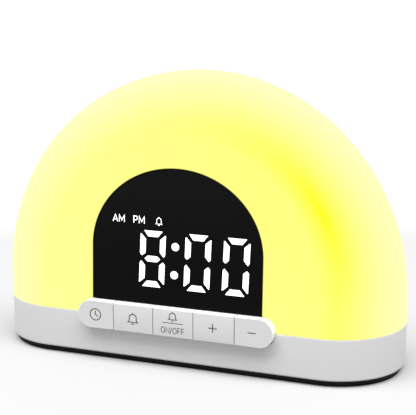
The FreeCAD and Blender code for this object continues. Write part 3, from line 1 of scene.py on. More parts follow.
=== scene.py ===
"""Looks of the sunrise alarm clock: an opal arched light on a white base, its display and its keys.

Metres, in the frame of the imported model: X to the right, the front faces -Y, Z up from the table.
The sections follow the clock as it is put together, from its foot to its keys.
"""
import math
import bmesh
import bpy
from mathutils import Matrix, Vector


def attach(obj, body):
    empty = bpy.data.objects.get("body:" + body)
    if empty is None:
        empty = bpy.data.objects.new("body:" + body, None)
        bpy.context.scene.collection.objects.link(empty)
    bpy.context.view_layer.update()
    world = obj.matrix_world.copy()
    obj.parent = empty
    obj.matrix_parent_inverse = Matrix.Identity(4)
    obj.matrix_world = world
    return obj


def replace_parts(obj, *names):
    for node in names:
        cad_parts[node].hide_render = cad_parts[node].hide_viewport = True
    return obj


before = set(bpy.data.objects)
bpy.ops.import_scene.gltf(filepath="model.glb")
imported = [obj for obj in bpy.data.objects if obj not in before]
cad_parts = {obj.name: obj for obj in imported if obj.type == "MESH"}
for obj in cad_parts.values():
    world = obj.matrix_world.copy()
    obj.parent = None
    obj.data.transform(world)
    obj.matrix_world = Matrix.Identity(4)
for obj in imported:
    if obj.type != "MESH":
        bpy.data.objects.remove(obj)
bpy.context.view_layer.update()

MM = 0.001

# The camera stands to the right of the clock and a little above it, as the photograph's did.
# It looks at the middle of the body from just under half a metre.
CAMERA_AZIMUTH = math.radians(21.6819)
CAMERA_ELEVATION = math.radians(12.0942)
CAMERA_DISTANCE = 478.4 * MM
CAMERA_TARGET = Vector((2.27, 0, 56.45)) * MM
CAMERA_LENS = 107.9
SENSOR_WIDTH = 36.0

away = Vector((
    math.sin(CAMERA_AZIMUTH) * math.cos(CAMERA_ELEVATION),
    -math.cos(CAMERA_AZIMUTH) * math.cos(CAMERA_ELEVATION),
    math.sin(CAMERA_ELEVATION),
))
optics = bpy.data.cameras.new("camera")
optics.lens = CAMERA_LENS
optics.sensor_width = SENSOR_WIDTH
camera = bpy.data.objects.new("camera", optics)
camera.location = CAMERA_TARGET + away * CAMERA_DISTANCE
camera.rotation_mode = "QUATERNION"
camera.rotation_quaternion = (-away).to_track_quat("-Z", "Y")
bpy.context.collection.objects.link(camera)
bpy.context.scene.camera = camera


# Foot: one thin pad of black silicone, glued under the cover, with small moulded studs that grip the table.
# The studs stand in staggered rows, clear of the pad's edge and of the access holes for the case screws.
class Level:
    """A number or colour that changes over a surface. Sums and products of levels add Math nodes."""

    def __init__(self, finish, socket):
        self.finish = finish
        self.socket = socket

    def math(self, operation, *values, clamp=False):
        settings = {"operation": operation, "use_clamp": clamp}
        return self.finish.add("Math", settings, dict(enumerate(values)), 0)

    def __add__(self, other):
        return self.math("ADD", self, other)

    def __sub__(self, other):
        return self.math("SUBTRACT", self, other)

    def __rsub__(self, other):
        return self.math("SUBTRACT", other, self)

    def __mul__(self, other):
        return self.math("MULTIPLY", self, other)

    def __truediv__(self, other):
        return self.math("DIVIDE", self, other)

    def __pow__(self, other):
        return self.math("POWER", self, other)

    def __abs__(self):
        return self.math("ABSOLUTE", self)

    def most(self, other):
        return self.math("MAXIMUM", self, other)

    def limited(self):
        return self.math("ADD", self, 0.0, clamp=True)

    def root(self):
        return self.math("SQRT", self)

    def above(self, edge, soft):
        """0 below the edge and 1 above it, over a soft step."""
        return ((self - edge) / soft + 0.5).limited()

    __radd__ = __add__
    __rmul__ = __mul__


class Nodes:
    """A tree of nodes. add() makes every node but the tree's ends."""

    def __init__(self, tree):
        self.nodes = tree.nodes
        self.links = tree.links
        self.nodes.clear()

    def add(self, kind, settings, sockets, result):
        """One node: its type, its settings, the values or links of its sockets, and the output to read."""
        families = ("ShaderNode", "GeometryNode", "FunctionNode")
        family = next(family for family in families if hasattr(bpy.types, family + kind))
        node = self.nodes.new(family + kind)
        for name, value in settings.items():
            setattr(node, name, value)
        for name, value in sockets.items():
            if isinstance(value, Level):
                self.links.new(value.socket, node.inputs[name])
            else:
                node.inputs[name].default_value = value
        return Level(self, node.outputs[result])

    def split(self, vector):
        """The three numbers of a vector."""
        apart = self.add("SeparateXYZ", {}, {0: vector}, 0)
        return [Level(self, output) for output in apart.socket.node.outputs]

    def joined(self, x, y, z):
        """A vector of three numbers."""
        return self.add("CombineXYZ", {}, {0: x, 1: y, 2: z}, 0)


class Finish(Nodes):
    """A material: one Principled shader, with its uniform values, and the nodes that feed it."""

    def __init__(self, name, **uniform):
        self.material = bpy.data.materials.new(name)
        self.material.use_nodes = True
        super().__init__(self.material.node_tree)
        self.shader = self.nodes.new("ShaderNodeBsdfPrincipled")
        surface = self.nodes.new("ShaderNodeOutputMaterial")
        self.links.new(self.shader.outputs[0], surface.inputs["Surface"])
        for socket, value in uniform.items():
            self.shader.inputs[socket.replace("_", " ")].default_value = value
        self.place = self.add("TexCoord", {}, {}, "Object")

    def feed(self, socket, level):
        self.links.new(level.socket, self.shader.inputs[socket])

    def parts(self):
        """The three numbers of a point on the piece, in millimetres."""
        sockets = {0: self.place, "Scale": 1 / MM}
        return self.split(self.add("VectorMath", {"operation": "SCALE"}, sockets, 0))

    def cloud(self, pitch, detail=2.0, where=None):
        """Soft noise from 0 to 1 whose lumps are a pitch apart, in metres."""
        sockets = {"Vector": where or self.place, "Scale": 1 / pitch, "Detail": detail}
        return self.add("TexNoise", {}, sockets, 0)

    def grain(self, pitch, where=None):
        """Rounded cells a pitch apart, 0 at their middles."""
        sockets = {"Vector": where or self.place, "Scale": 1 / pitch}
        return self.add("TexVoronoi", {}, sockets, "Distance")

    def tint(self, amount, first, second):
        """From the first colour to the second as the amount goes from 0 to 1."""
        settings = {"data_type": "RGBA"}
        return self.add("Mix", settings, {0: amount, 6: first, 7: second}, 2)

    def color(self, red, green, blue):
        """A colour from three numbers."""
        return self.add("CombineColor", {}, {0: red, 1: green, 2: blue}, 0)

    def bump(self, height, depth):
        """Relief of the surface: a height of 1 stands this deep, in metres."""
        relief = self.add("Bump", {}, {"Height": height, "Strength": 1.0, "Distance": depth}, 0)
        self.feed("Normal", relief)


def shade(color, by=1.0):
    """A colour with its strength changed, as a shader takes it."""
    return tuple(channel * by for channel in color) + (1.0,)


def moulded(name, color, roughness, pitch, depth, uneven=0.04, **uniform):
    """Moulded plastic or rubber: faint clouds in its colour and gloss, and a fine texture in relief."""
    finish = Finish(name, **uniform)
    clouds = finish.cloud(40 * pitch)
    texture = finish.grain(pitch)
    finish.feed("Base Color", finish.tint(clouds, shade(color, 1 - uneven), shade(color, 1 + uneven)))
    finish.feed("Roughness", clouds * 0.08 + texture * 0.06 + (roughness - 0.07))
    finish.bump(texture, depth)
    return finish


class Growth(Nodes):
    """A tree of geometry nodes whose sizes are named inputs, in metres."""

    def __init__(self, name, takes_mesh=False, **sizes):
        self.tree = bpy.data.node_groups.new(name, "GeometryNodeTree")
        super().__init__(self.tree)
        self.name = name
        self.sizes = sizes
        new_socket = self.tree.interface.new_socket
        if takes_mesh:
            new_socket("Geometry", in_out="INPUT", socket_type="NodeSocketGeometry")
        self.keys = {}
        for label in sizes:
            socket = new_socket(label.replace("_", " "), in_out="INPUT", socket_type="NodeSocketFloat")
            self.keys[label] = socket.identifier
        new_socket("Geometry", in_out="OUTPUT", socket_type="NodeSocketGeometry")
        start = self.nodes.new("NodeGroupInput")
        self.taken = Level(self, start.outputs[0])
        self.size = {label: Level(self, start.outputs[label.replace("_", " ")]) for label in sizes}
        self.end = self.nodes.new("NodeGroupOutput")

    def parts(self):
        """The three numbers of a point, in metres."""
        return self.split(self.add("InputPosition", {}, {}, 0))

    def finish_with(self, result):
        """Links what the tree gives back."""
        self.links.new(result.socket, self.end.inputs[0])

    def put_on(self, piece):
        """Adds the tree to an object as a modifier with its sizes set."""
        modifier = piece.modifiers.new(self.name, "NODES")
        modifier.node_group = self.tree
        for label, value in self.sizes.items():
            modifier[self.keys[label]] = value
        return modifier

    def mesh(self, result, finish):
        """Ends the tree, runs it once and returns the plain mesh."""
        real = self.add("RealizeInstances", {}, {0: result}, 0)
        self.finish_with(self.add("SetMaterial", {}, {0: real, "Material": finish.material}, 0))
        carrier = bpy.data.objects.new(self.name, bpy.data.meshes.new(self.name))
        bpy.context.collection.objects.link(carrier)
        modifier = self.put_on(carrier)
        ready = carrier.evaluated_get(bpy.context.evaluated_depsgraph_get())
        made = bpy.data.meshes.new_from_object(ready)
        carrier.modifiers.remove(modifier)
        bpy.data.objects.remove(carrier)
        return made


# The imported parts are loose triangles. This modifier joins them and shades their curves smoothly.
CURVE_LIMIT = math.radians(28)
JOIN_WITHIN = 0.0005
smooth_curves = Growth(
    "smooth_curves", takes_mesh=True, Join_within=JOIN_WITHIN * MM, Sharpest_curve=CURVE_LIMIT
)
sockets = {"Geometry": smooth_curves.taken, "Distance": smooth_curves.size["Join_within"]}
welded = smooth_curves.add("MergeByDistance", {}, sockets, 0)
rounded = smooth_curves.add("SetShadeSmooth", {}, {"Geometry": welded}, 0)
turn = smooth_curves.add("InputMeshEdgeAngle", {}, {}, "Unsigned Angle")
gentle = turn.math("LESS_THAN", turn, smooth_curves.size["Sharpest_curve"])
sockets = {"Geometry": rounded, "Shade Smooth": gentle}
smooth_curves.finish_with(smooth_curves.add("SetShadeSmooth", {"domain": "EDGE"}, sockets, 0))


def coat(finish, *names):
    """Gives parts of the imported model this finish, and smooth curves."""
    for name in names:
        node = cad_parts[name]
        for slot in node.material_slots:
            slot.material = finish.material
        smooth_curves.put_on(node)


def finished(name, mesh, finish, body):
    """Closes a bmesh as a piece: outward faces, smooth curves, a finish and a body to ride on."""
    bmesh.ops.recalc_face_normals(mesh, faces=mesh.faces)
    for face in mesh.faces:
        face.smooth = True
    for edge in mesh.edges:
        edge.smooth = edge.calc_face_angle(0.0) < CURVE_LIMIT
    data = bpy.data.meshes.new(name)
    mesh.to_mesh(data)
    mesh.free()
    data.materials.append(finish.material)
    piece = bpy.data.objects.new(name, data)
    bpy.context.collection.objects.link(piece)
    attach(piece, body)
    return piece


STUD_PITCH = 3.6
STUD_ROWS = 15
STUD_RADIUS = 0.95
STUD_TALL = 0.22
STUD_TAPER = 0.8
STUD_SIDES = 14
PAD_HALF = (78.49, 25.19)
PAD_EDGE = 2.0
PAD_HOLE = (61.2, 20.2)
PAD_HOLE_CLEAR = 4.6

silicone = moulded("silicone", (0.004, 0.004, 0.004), 0.75, 0.9 * MM, 0.04 * MM, Specular_IOR_Level=0.12)
studs = Growth(
    "grip_studs", Half_length=PAD_HALF[0] * MM, Half_width=PAD_HALF[1] * MM, Pitch=STUD_PITCH * MM,
    Stud_radius=STUD_RADIUS * MM, Stud_height=STUD_TALL * MM, Edge=PAD_EDGE * MM,
    Hole_across=PAD_HOLE[0] * MM, Hole_deep=PAD_HOLE[1] * MM, Hole_clear=PAD_HOLE_CLEAR * MM,
)
given = studs.size
row_pitch = given["Pitch"] * (math.sqrt(3) / 2)
grid = studs.add("MeshGrid", {}, {
    "Size X": given["Half_length"] * 2, "Size Y": row_pitch * (STUD_ROWS - 1.0),
    "Vertices X": given["Half_length"] * 2 / given["Pitch"], "Vertices Y": STUD_ROWS,
}, "Mesh")
y = studs.parts()[1]
row = (y / row_pitch).math("ROUND", y / row_pitch)
odd = row.math("FLOORED_MODULO", row, 2.0)
shift = studs.joined(odd * given["Pitch"] / 2, 0.0, 0.0)
staggered = studs.add("SetPosition", {}, {"Geometry": grid, "Offset": shift}, 0)
x, y = studs.parts()[:2]
beyond = (abs(x) - (given["Half_length"] - given["Half_width"])).most(0.0)
reach = (beyond * beyond + y * y).root()
inside = reach.math("LESS_THAN", reach, given["Half_width"] - given["Edge"])
from_hole = ((abs(x) - given["Hole_across"]) ** 2.0 + (abs(y) - given["Hole_deep"]) ** 2.0).root()
clear = from_hole.math("GREATER_THAN", from_hole, given["Hole_clear"])
stud = studs.add("MeshCone", {}, {
    "Vertices": STUD_SIDES, "Depth": given["Stud_height"],
    "Radius Top": given["Stud_radius"], "Radius Bottom": given["Stud_radius"] * STUD_TAPER,
}, "Mesh")
sockets = {"Points": staggered, "Selection": inside * clear, "Instance": stud}
placed = studs.add("InstanceOnPoints", {}, sockets, "Instances")
grip = bmesh.new()
grip.from_mesh(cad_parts["foot_pad"].data)
bmesh.ops.remove_doubles(grip, verts=grip.verts, dist=JOIN_WITHIN * MM)
for vertex in grip.verts:
    vertex.co.z = max(vertex.co.z, STUD_TALL * MM)
grip.from_mesh(studs.mesh(placed, silicone))
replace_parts(finished("grip_pad", grip, silicone, "root"), "foot_pad")
coat(silicone, "foot_pad")

# Bottom cover: black ABS plate with a spark-eroded texture, set in under the base.
# Four zinc-plated pan-head screws hold it, sunk under the pad.
black_abs = moulded("black_abs", (0.005, 0.005, 0.005), 0.5, 0.45 * MM, 0.01 * MM, Specular_IOR_Level=0.12)
coat(black_abs, "bottom_cover")


def plated(name, color, roughness, pitch):
    """Plated steel: fine drawn lines in its gloss, and a few duller spots."""
    finish = Finish(name, Metallic=1.0)
    drawn = finish.add("Mapping", {}, {"Vector": finish.place, "Scale": (1.0, 1.0, 9.0)}, 0)
    lines = finish.cloud(pitch, 3.0, drawn)
    spots = finish.cloud(12 * pitch)
    finish.feed("Base Color", finish.tint(spots, shade(color, 0.86), shade(color, 1.06)))
    finish.feed("Roughness", lines * 0.16 + spots * 0.1 + (roughness - 0.13))
    finish.bump(lines, 0.003 * MM)
    return finish


steel = plated("zinc_plated_steel", (0.58, 0.58, 0.6), 0.36, 0.12 * MM)
coat(steel, "case_screws", "main_board_screws", "lamp_screws", "display_screws", "key_screws")

# Base shell: white ABS injection moulding with a fine satin texture.
# The seam under the dome is a small chamfer, and its back has the sound slots and the power inlet.
white_abs = moulded("white_abs", (0.72, 0.72, 0.72), 0.42, 0.28 * MM, 0.002 * MM, uneven=0.012)
coat(white_abs, "base_shell")

# Inside the base: the main board with its parts, the cell, the power inlet and the speaker.
# The board is green solder mask over copper, with fine tracks in relief.
board = Finish("green_board", Specular_IOR_Level=0.4)
tracks = board.add(
    "TexBrick", {"offset": 0.37, "squash": 1.6},
    {"Vector": board.place, "Scale": 1 / (9 * MM), "Mortar Size": 0.02, "Mortar Smooth": 0.1}, "Fac",
)
mask = board.cloud(6 * MM)
board.feed("Base Color", board.tint(tracks, shade((0.012, 0.11, 0.045)), shade((0.03, 0.2, 0.09))))
board.feed("Roughness", mask * 0.12 + 0.24)
board.bump(tracks, 0.03 * MM)
coat(board, "main_board", "switch_board", "display_board")

component = moulded("black_epoxy", (0.02, 0.02, 0.021), 0.5, 0.12 * MM, 0.004 * MM)
coat(component, "controller_chip", "cell_holder", "speaker_frame")

cone_paper = moulded("cone_paper", (0.03, 0.03, 0.032), 0.85, 0.35 * MM, 0.03 * MM)
coat(cone_paper, "speaker_cone")

# Dust cloth over the cone: black woven polyester, glued inside the speaker's rim behind the sound slots.
# Two sets of round threads cross, one a little in front of the other.
CLOTH_MIDDLE = (-38.5, 23.95, 10.2)
CLOTH_SIZE = (25.0, 6.6)
THREAD_PITCH = 0.42
THREAD_RADIUS = 0.11
THREAD_SIDES = 6
THREAD_LIFT = 0.7
UPWARD, SIDEWAYS = 2, 0

cloth = Growth(
    "dust_cloth", Width=CLOTH_SIZE[0] * MM, Height=CLOTH_SIZE[1] * MM, Pitch=THREAD_PITCH * MM,
    Thread_radius=THREAD_RADIUS * MM,
    Across=CLOTH_MIDDLE[0] * MM, Deep=CLOTH_MIDDLE[1] * MM, Up=CLOTH_MIDDLE[2] * MM,
)
given = cloth.size
sockets = {"Resolution": THREAD_SIDES, "Radius": given["Thread_radius"]}
thread_ring = cloth.add("CurvePrimitiveCircle", {}, sockets, 0)


def threads(long, wide, along, lift):
    """One set of threads: their length, the width they cover, the way they run and their lift in radii."""
    low = [0.0, 0.0, 0.0]
    high = [0.0, 0.0, 0.0]
    low[along], high[along] = long * -0.5, long * 0.5
    line = cloth.add("CurvePrimitiveLine", {}, {"Start": cloth.joined(*low), "End": cloth.joined(*high)}, 0)
    tube = cloth.add("CurveToMesh", {}, {"Curve": line, "Profile Curve": thread_ring, "Fill Caps": True}, 0)
    start = [given["Across"], given["Deep"] + given["Thread_radius"] * lift, given["Up"]]
    start[2 - along] = start[2 - along] - wide / 2
    step = [0.0, 0.0, 0.0]
    step[2 - along] = given["Pitch"]
    places = {"Start Location": cloth.joined(*start), "Offset": cloth.joined(*step)}
    sockets = {"Count": wide / given["Pitch"], **places}
    points = cloth.add("MeshLine", {}, sockets, 0)
    return cloth.add("InstanceOnPoints", {}, {"Points": points, "Instance": tube}, 0)


warp = threads(given["Height"], given["Width"], UPWARD, THREAD_LIFT)
weft = threads(given["Width"], given["Height"], SIDEWAYS, -THREAD_LIFT)
both = cloth.add("JoinGeometry", {}, {0: warp}, 0)
cloth.links.new(weft.socket, both.socket.node.inputs[0])
polyester = moulded("black_polyester", (0.012, 0.012, 0.013), 0.8, 0.2 * MM, 0.01 * MM)
weave = bmesh.new()
weave.from_mesh(cloth.mesh(both, polyester))
finished("dust_cloth", weave, polyester, "root")

# Small parts of the boards: nickel-plated steel, drawn aluminium cans and nylon connectors.
# The leads have red sheaths, and the flat cable shows its wires through the clear laminate.
WIRE_PITCH = 1.27

nickel = plated("nickel_plate", (0.66, 0.65, 0.63), 0.24, 0.2 * MM)
coat(nickel, "usb_socket", "coin_cell", "speaker_magnet")

aluminium = plated("can_aluminium", (0.78, 0.78, 0.8), 0.3, 0.15 * MM)
coat(aluminium, "capacitors")

connector = moulded("connector_nylon", (0.78, 0.76, 0.7), 0.48, 0.25 * MM, 0.004 * MM)
coat(connector, "board_connectors", "display_connector")

sheath = moulded("lead_sheath", (0.42, 0.03, 0.025), 0.38, 0.3 * MM, 0.003 * MM)
coat(sheath, "speaker_leads")

ribbon = Finish("ribbon_laminate")
turns = ribbon.parts()[0] * (1 / WIRE_PITCH)
wires = turns.math("PINGPONG", turns, 0.5) * 2
ribbon.feed("Base Color", ribbon.tint(wires, shade((0.5, 0.5, 0.52)), shade((0.8, 0.8, 0.82))))
ribbon.feed("Roughness", wires * 0.1 + 0.35)
ribbon.bump(wires, 0.05 * MM)
coat(ribbon, "display_ribbon")

# Light tray: the white deck over the base, with the lamp board and two rows of warm lamps.
# The deck is the same ABS as the base, and the board has white solder mask.
coat(white_abs, "light_tray", "key_guide")

white_board = moulded("white_solder_mask", (0.82, 0.82, 0.8), 0.3, 0.6 * MM, 0.004 * MM)
coat(white_board, "light_board")

lamp = Finish("lamp_phosphor", Emission_Strength=0.6)
phosphor = lamp.grain(0.5 * MM)
lamp.feed("Base Color", lamp.tint(phosphor, shade((0.95, 0.78, 0.2)), shade((0.9, 0.62, 0.1))))
lamp.feed("Emission Color", lamp.tint(phosphor, shade((1.0, 0.85, 0.35)), shade((1.0, 0.75, 0.2))))
lamp.feed("Roughness", phosphor * 0.1 + 0.25)
lamp.bump(phosphor, 0.01 * MM)
coat(lamp, "lamp_leds", "display_leds")

# Dome: one opal acrylic moulding, satin outside. Its light is drawn as emission that is fixed to the shell:
# deepest where the shell squarely faces the photograph's viewpoint, paler as it turns away, and turned round
# for the back. A thin black edge widens the window to the photograph's.
# The paler tint where the shell turns away is a painted sheen, set into both the emission and the base
# colour; the yellow light itself comes from the lamps inside.
SEAM_HEIGHT = 18.1
DOME_CENTRE = 28.2
DOME_HALF_DEPTH = 26.7
DOME_LEAN = 0.038
RIM_LAND = 0.8
SHEEN_VIEWPOINT = camera.location / MM
SHEEN_LEAST = 0.012
SHEEN_RISE = 0.66
SHEEN_FALL = 0.155
SHEEN_JOIN = 8.0
SHEEN_IN_GLOW = 0.935
SHELL_LEVEL = 0.08
WINDOW_EDGE_MIDDLE = -0.25
WINDOW_EDGE_HALF = 34.1
WINDOW_EDGE_RISE = 30.9
WINDOW_SPRING = 44.7
WINDOW_EDGE_SOFT = 0.012
FRONT_WALL = -22.0

opal = Finish("lit_opal", Emission_Strength=1.0, Specular_IOR_Level=0.0)
across, deep, high = opal.parts()


def dot(first, second):
    """Product of two directions, each given by its three numbers."""
    return sum(a * b for a, b in zip(first, second))


def glow_with_painted_sheen(side):
    """Blue share of the lit shell on the front (side 1) and, turned round, on the back (side -1): a painted
    sheen that grows as the shell turns away from the viewpoint.
    """
    x, y = across * side, abs(deep) * -1
    half_depth = DOME_HALF_DEPTH - (high - SEAM_HEIGHT) * DOME_LEAN
    outward = ((y * -1 - RIM_LAND) / (half_depth - RIM_LAND)).limited()
    inward = (1 - outward * outward).most(0.0).root()
    rise = (high - DOME_CENTRE).most(0.0)
    reach = (x * x + rise * rise).root().most(0.01)
    normal = x / reach * inward, outward * -1, rise / reach * inward + outward * DOME_LEAN
    towards = SHEEN_VIEWPOINT.x - x, SHEEN_VIEWPOINT.y - y, SHEEN_VIEWPOINT.z - high
    along = dot(normal, towards)
    facing = (along / (dot(normal, normal) * dot(towards, towards)).root()).limited()
    turned = (1 - facing * facing).most(0.0).root()
    return turned * SHEEN_RISE - turned * turned * SHEEN_FALL + SHEEN_LEAST


def clear_of_window():
    """0 on the black edge of the window and 1 on the rest of the shell."""
    lift = (high - WINDOW_SPRING).most(0.0) / WINDOW_EDGE_RISE
    spread = (across - WINDOW_EDGE_MIDDLE) / WINDOW_EDGE_HALF
    beyond_edge = (spread * spread + lift * lift).root().above(1.0, WINDOW_EDGE_SOFT)
    return beyond_edge.most(deep.above(FRONT_WALL, 1.0))


# Painted sheen: the blue share, with front and back joined, whitens the lit yellow away from the viewpoint.
behind = deep.above(0.0, SHEEN_JOIN)
blue = glow_with_painted_sheen(1) * (1 - behind) + glow_with_painted_sheen(-1) * behind
open_shell = clear_of_window()
haze = opal.cloud(7 * MM)
fine = opal.grain(0.3 * MM)
lit = opal.color(open_shell, open_shell, blue * SHEEN_IN_GLOW * open_shell)
body_level = open_shell * SHELL_LEVEL
body_color = opal.color(body_level, body_level, blue * body_level)
opal.feed("Base Color", body_color)
opal.feed("Emission Color", lit)
opal.feed("Roughness", haze * 0.06 + 0.46)
opal.bump(fine, 0.001 * MM)
coat(opal, "diffuser_dome")
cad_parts["diffuser_dome"].visible_diffuse = False

# Display: a smoked acrylic lens flush in the dome, over a black frame with a light guide for each segment.
# The lit segments are crisp white, and the figure for the tens of the hours stays dark.
# They are drawn a little slimmer than the light guides behind them, as bright lines spread in the picture.
smoked = Finish("smoked_acrylic", Specular_IOR_Level=0.04)
sheen = smoked.cloud(20 * MM)
dust = smoked.grain(1.2 * MM)
darkest = shade((0.0028, 0.0028, 0.003))
palest = shade((0.0034, 0.0034, 0.0032))
smoked.feed("Base Color", smoked.tint(sheen, darkest, palest))
smoked.feed("Roughness", sheen * 0.05 + 0.06)
smoked.bump(dust, 0.0004 * MM)
coat(smoked, "display_lens")
coat(black_abs, "display_frame")

resin = moulded("milky_resin", (0.85, 0.85, 0.83), 0.3, 0.4 * MM, 0.004 * MM)
coat(resin, "segment_guides")

DIGIT_HEIGHT = 21.3
DIGIT_WIDTH = 10.2
DIGIT_STROKE = 2.25
DIGIT_SLANT = 0.035
DIGIT_MIDDLE = 23.05
DIGIT_ROUND = 0.28
LIT_FIGURES = ((-9.67, "abcdefg"), (8.38, "abcdef"), (23.45, "abcdef"))
COLON_MIDDLE = -0.65
COLON_SPREAD = 5.32
COLON_RADIUS = 1.52
PRINT_DEPTH = 0.06
PRINT_PROUD = 0.03

front_face = Matrix.Translation(Vector((0, -DOME_HALF_DEPTH, SEAM_HEIGHT)) * MM) @ Matrix.Rotation(
    -math.atan(DOME_LEAN), 4, "X"
)


def add_prism(mesh, outline, back, front, place):
    """Adds an upright plate: an outline of x and z, between two depths, set by a placement. Millimetres."""
    rings = []
    for depth in (back, front):
        rings.append([mesh.verts.new(place @ (Vector((x, depth, z)) * MM)) for x, z in outline])
    mesh.faces.new(rings[0])
    mesh.faces.new(list(reversed(rings[1])))
    count = len(outline)
    for i in range(count):
        j = (i + 1) % count
        mesh.faces.new((rings[0][i], rings[1][i], rings[1][j], rings[0][j]))
    return rings[1]


def eased(corners, radius, steps=4):
    """An outline with each of its corners rounded."""
    points = []
    count = len(corners)
    for i in range(count):
        corner = Vector(corners[i])
        before = (Vector(corners[i - 1]) - corner)
        after = (Vector(corners[(i + 1) % count]) - corner)
        cut = min(radius, before.length * 0.45, after.length * 0.45)
        first = corner + before.normalized() * cut
        last = corner + after.normalized() * cut
        for step in range(steps + 1):
            t = step / steps
            points.append(first * (1 - t) ** 2 + corner * 2 * t * (1 - t) + last * t * t)
    return points


def circle_outline(x, z, radius, steps=32):
    """A round outline."""
    turn = [2 * math.pi * i / steps for i in range(steps)]
    return [(x + radius * math.cos(a), z + radius * math.sin(a)) for a in turn]


def segments():
    """The seven segment outlines of one upright figure about its middle."""
    tall, wide, stroke = DIGIT_HEIGHT / 2, DIGIT_WIDTH / 2, DIGIT_STROKE
    inner = wide - stroke
    top = [
        (-wide * 0.74, tall), (wide * 0.74, tall),
        (inner * 0.7, tall - stroke), (-inner * 0.7, tall - stroke),
    ]
    left = [
        (-wide, tall - stroke * 0.58), (-wide + stroke * 0.15, tall - stroke * 0.58),
        (-inner, tall - stroke * 1.45), (-inner, stroke * 0.95), (-wide + stroke * 0.37, stroke * 0.44),
        (-wide, stroke * 0.84),
    ]
    right = [
        (wide, tall - stroke * 0.68), (wide, stroke * 0.71), (wide - stroke * 0.27, stroke * 0.38),
        (inner, stroke * 1.17), (inner, tall - stroke * 1.41), (wide - stroke * 0.15, tall - stroke * 0.68),
    ]
    bar = [
        (-wide * 0.63, 0), (-wide * 0.38, stroke / 2), (wide * 0.38, stroke / 2),
        (wide * 0.63, 0), (wide * 0.38, -stroke / 2), (-wide * 0.38, -stroke / 2),
    ]
    shapes = {"a": top, "f": left, "b": right, "g": bar}
    for turned, source in (("d", "a"), ("c", "f"), ("e", "b")):
        shapes[turned] = [(-x, -z) for x, z in shapes[source]]
    return shapes


white_light = Finish("lit_segment", Emission_Strength=1.0, Specular_IOR_Level=0.1)
evenness = white_light.cloud(1.5 * MM)
white_light.feed("Base Color", white_light.tint(evenness, shade((0.8, 0.8, 0.8)), shade((0.9, 0.9, 0.9))))
dimmest = shade((0.95, 0.95, 0.95))
brightest = shade((1.0, 1.0, 1.0))
white_light.feed("Emission Color", white_light.tint(evenness, dimmest, brightest))
white_light.feed("Roughness", evenness * 0.1 + 0.4)
white_light.bump(evenness, 0.001 * MM)

figures = bmesh.new()
shapes = segments()
for centre, letters in LIT_FIGURES:
    for letter in letters:
        leant = [(centre + x + DIGIT_SLANT * z, DIGIT_MIDDLE + z) for x, z in shapes[letter]]
        add_prism(figures, eased(leant, DIGIT_ROUND), PRINT_DEPTH, -PRINT_PROUD, front_face)
for spread in (-COLON_SPREAD, COLON_SPREAD):
    dot = circle_outline(COLON_MIDDLE + DIGIT_SLANT * spread, DIGIT_MIDDLE + spread, COLON_RADIUS)
    add_prism(figures, dot, PRINT_DEPTH, -PRINT_PROUD, front_face)
finished("lit_figures", figures, white_light, "root")

# Status signs above the figures: morning, evening and a bell for the alarm that is set.
# Thin lit lines of one stroke width, drawn as strokes.
SIGN_HEIGHT = 37.4
SIGN_TALL = 2.95
SIGN_STROKE = 0.34
MORNING_SPACE = 0.28
EVENING_SPACE = 0.38
SIGN_BELL_DROP = 0.15
SIGN_BELL = (2.45, 3.3)
SIGN_BELL_STROKE = 0.24
MITRE_LIMIT = 0.45
MORNING_MIDDLE = -23.5
EVENING_MIDDLE = -15.15
BELL_MIDDLE = -7.1
STROKE_LIFT = 0.002


def ribbon_outline(points, width, closed=False):
    """Both edges of a stroke along a line of points, with mitred corners."""
    points = [Vector(point) for point in points]
    count = len(points)
    edges = []
    for i in range(count):
        before = points[i] - points[i - 1] if closed or i else points[1] - points[0]
        after = points[(i + 1) % count] - points[i] if closed or i < count - 1 else before
        before, after = before.normalized(), after.normalized()
        square = Vector((-before.y, before.x))
        side = square + Vector((-after.y, after.x))
        side = side.normalized() if side.length > 1e-6 else square
        reach = width / 2 / max(side.dot(square), MITRE_LIMIT)
        edges.append((points[i] + side * reach, points[i] - side * reach))
    return edges


def add_stroke(mesh, points, width, back, front, place, closed=False):
    """Adds a raised stroke along a line of points."""
    edges = ribbon_outline(points, width, closed)
    count = len(edges)
    rows = []
    for left, right in edges:
        row = [
            mesh.verts.new(place @ (Vector((at.x, depth, at.y)) * MM))
            for at, depth in ((left, back), (left, front), (right, front), (right, back))
        ]
        rows.append(row)
    for i in range(count if closed else count - 1):
        a, b = rows[i], rows[(i + 1) % count]
        for k in range(4):
            n = (k + 1) % 4
            mesh.faces.new((a[k], a[n], b[n], b[k]))
    if not closed:
        mesh.faces.new(rows[0])
        mesh.faces.new(list(reversed(rows[-1])))


def arc(x, z, radius_x, radius_z, start, stop, steps=12):
    """Points along part of an oval, angles in degrees."""
    angles = [math.radians(start + (stop - start) * i / steps) for i in range(steps + 1)]
    return [(x + radius_x * math.cos(a), z + radius_z * math.sin(a)) for a in angles]


LETTERS = {
    "A": (0.76, [[(0, 0), (0.38, 1), (0.76, 0)], [(0.14, 0.32), (0.62, 0.32)]]),
    "M": (0.8, [[(0, 0), (0, 1), (0.4, 0.25), (0.8, 1), (0.8, 0)]]),
    "P": (0.56, [[(0, 0), (0, 1), *arc(0.28, 0.72, 0.28, 0.28, 90, -90), (0, 0.44)]]),
    "O": (0.64, [arc(0.32, 0.5, 0.32, 0.5, 0, 345, 23)]),
    "N": (0.58, [[(0, 0), (0, 1), (0.58, 0), (0.58, 1)]]),
    "F": (0.44, [[(0, 0), (0, 1), (0.44, 1)], [(0, 0.52), (0.38, 0.52)]]),
}


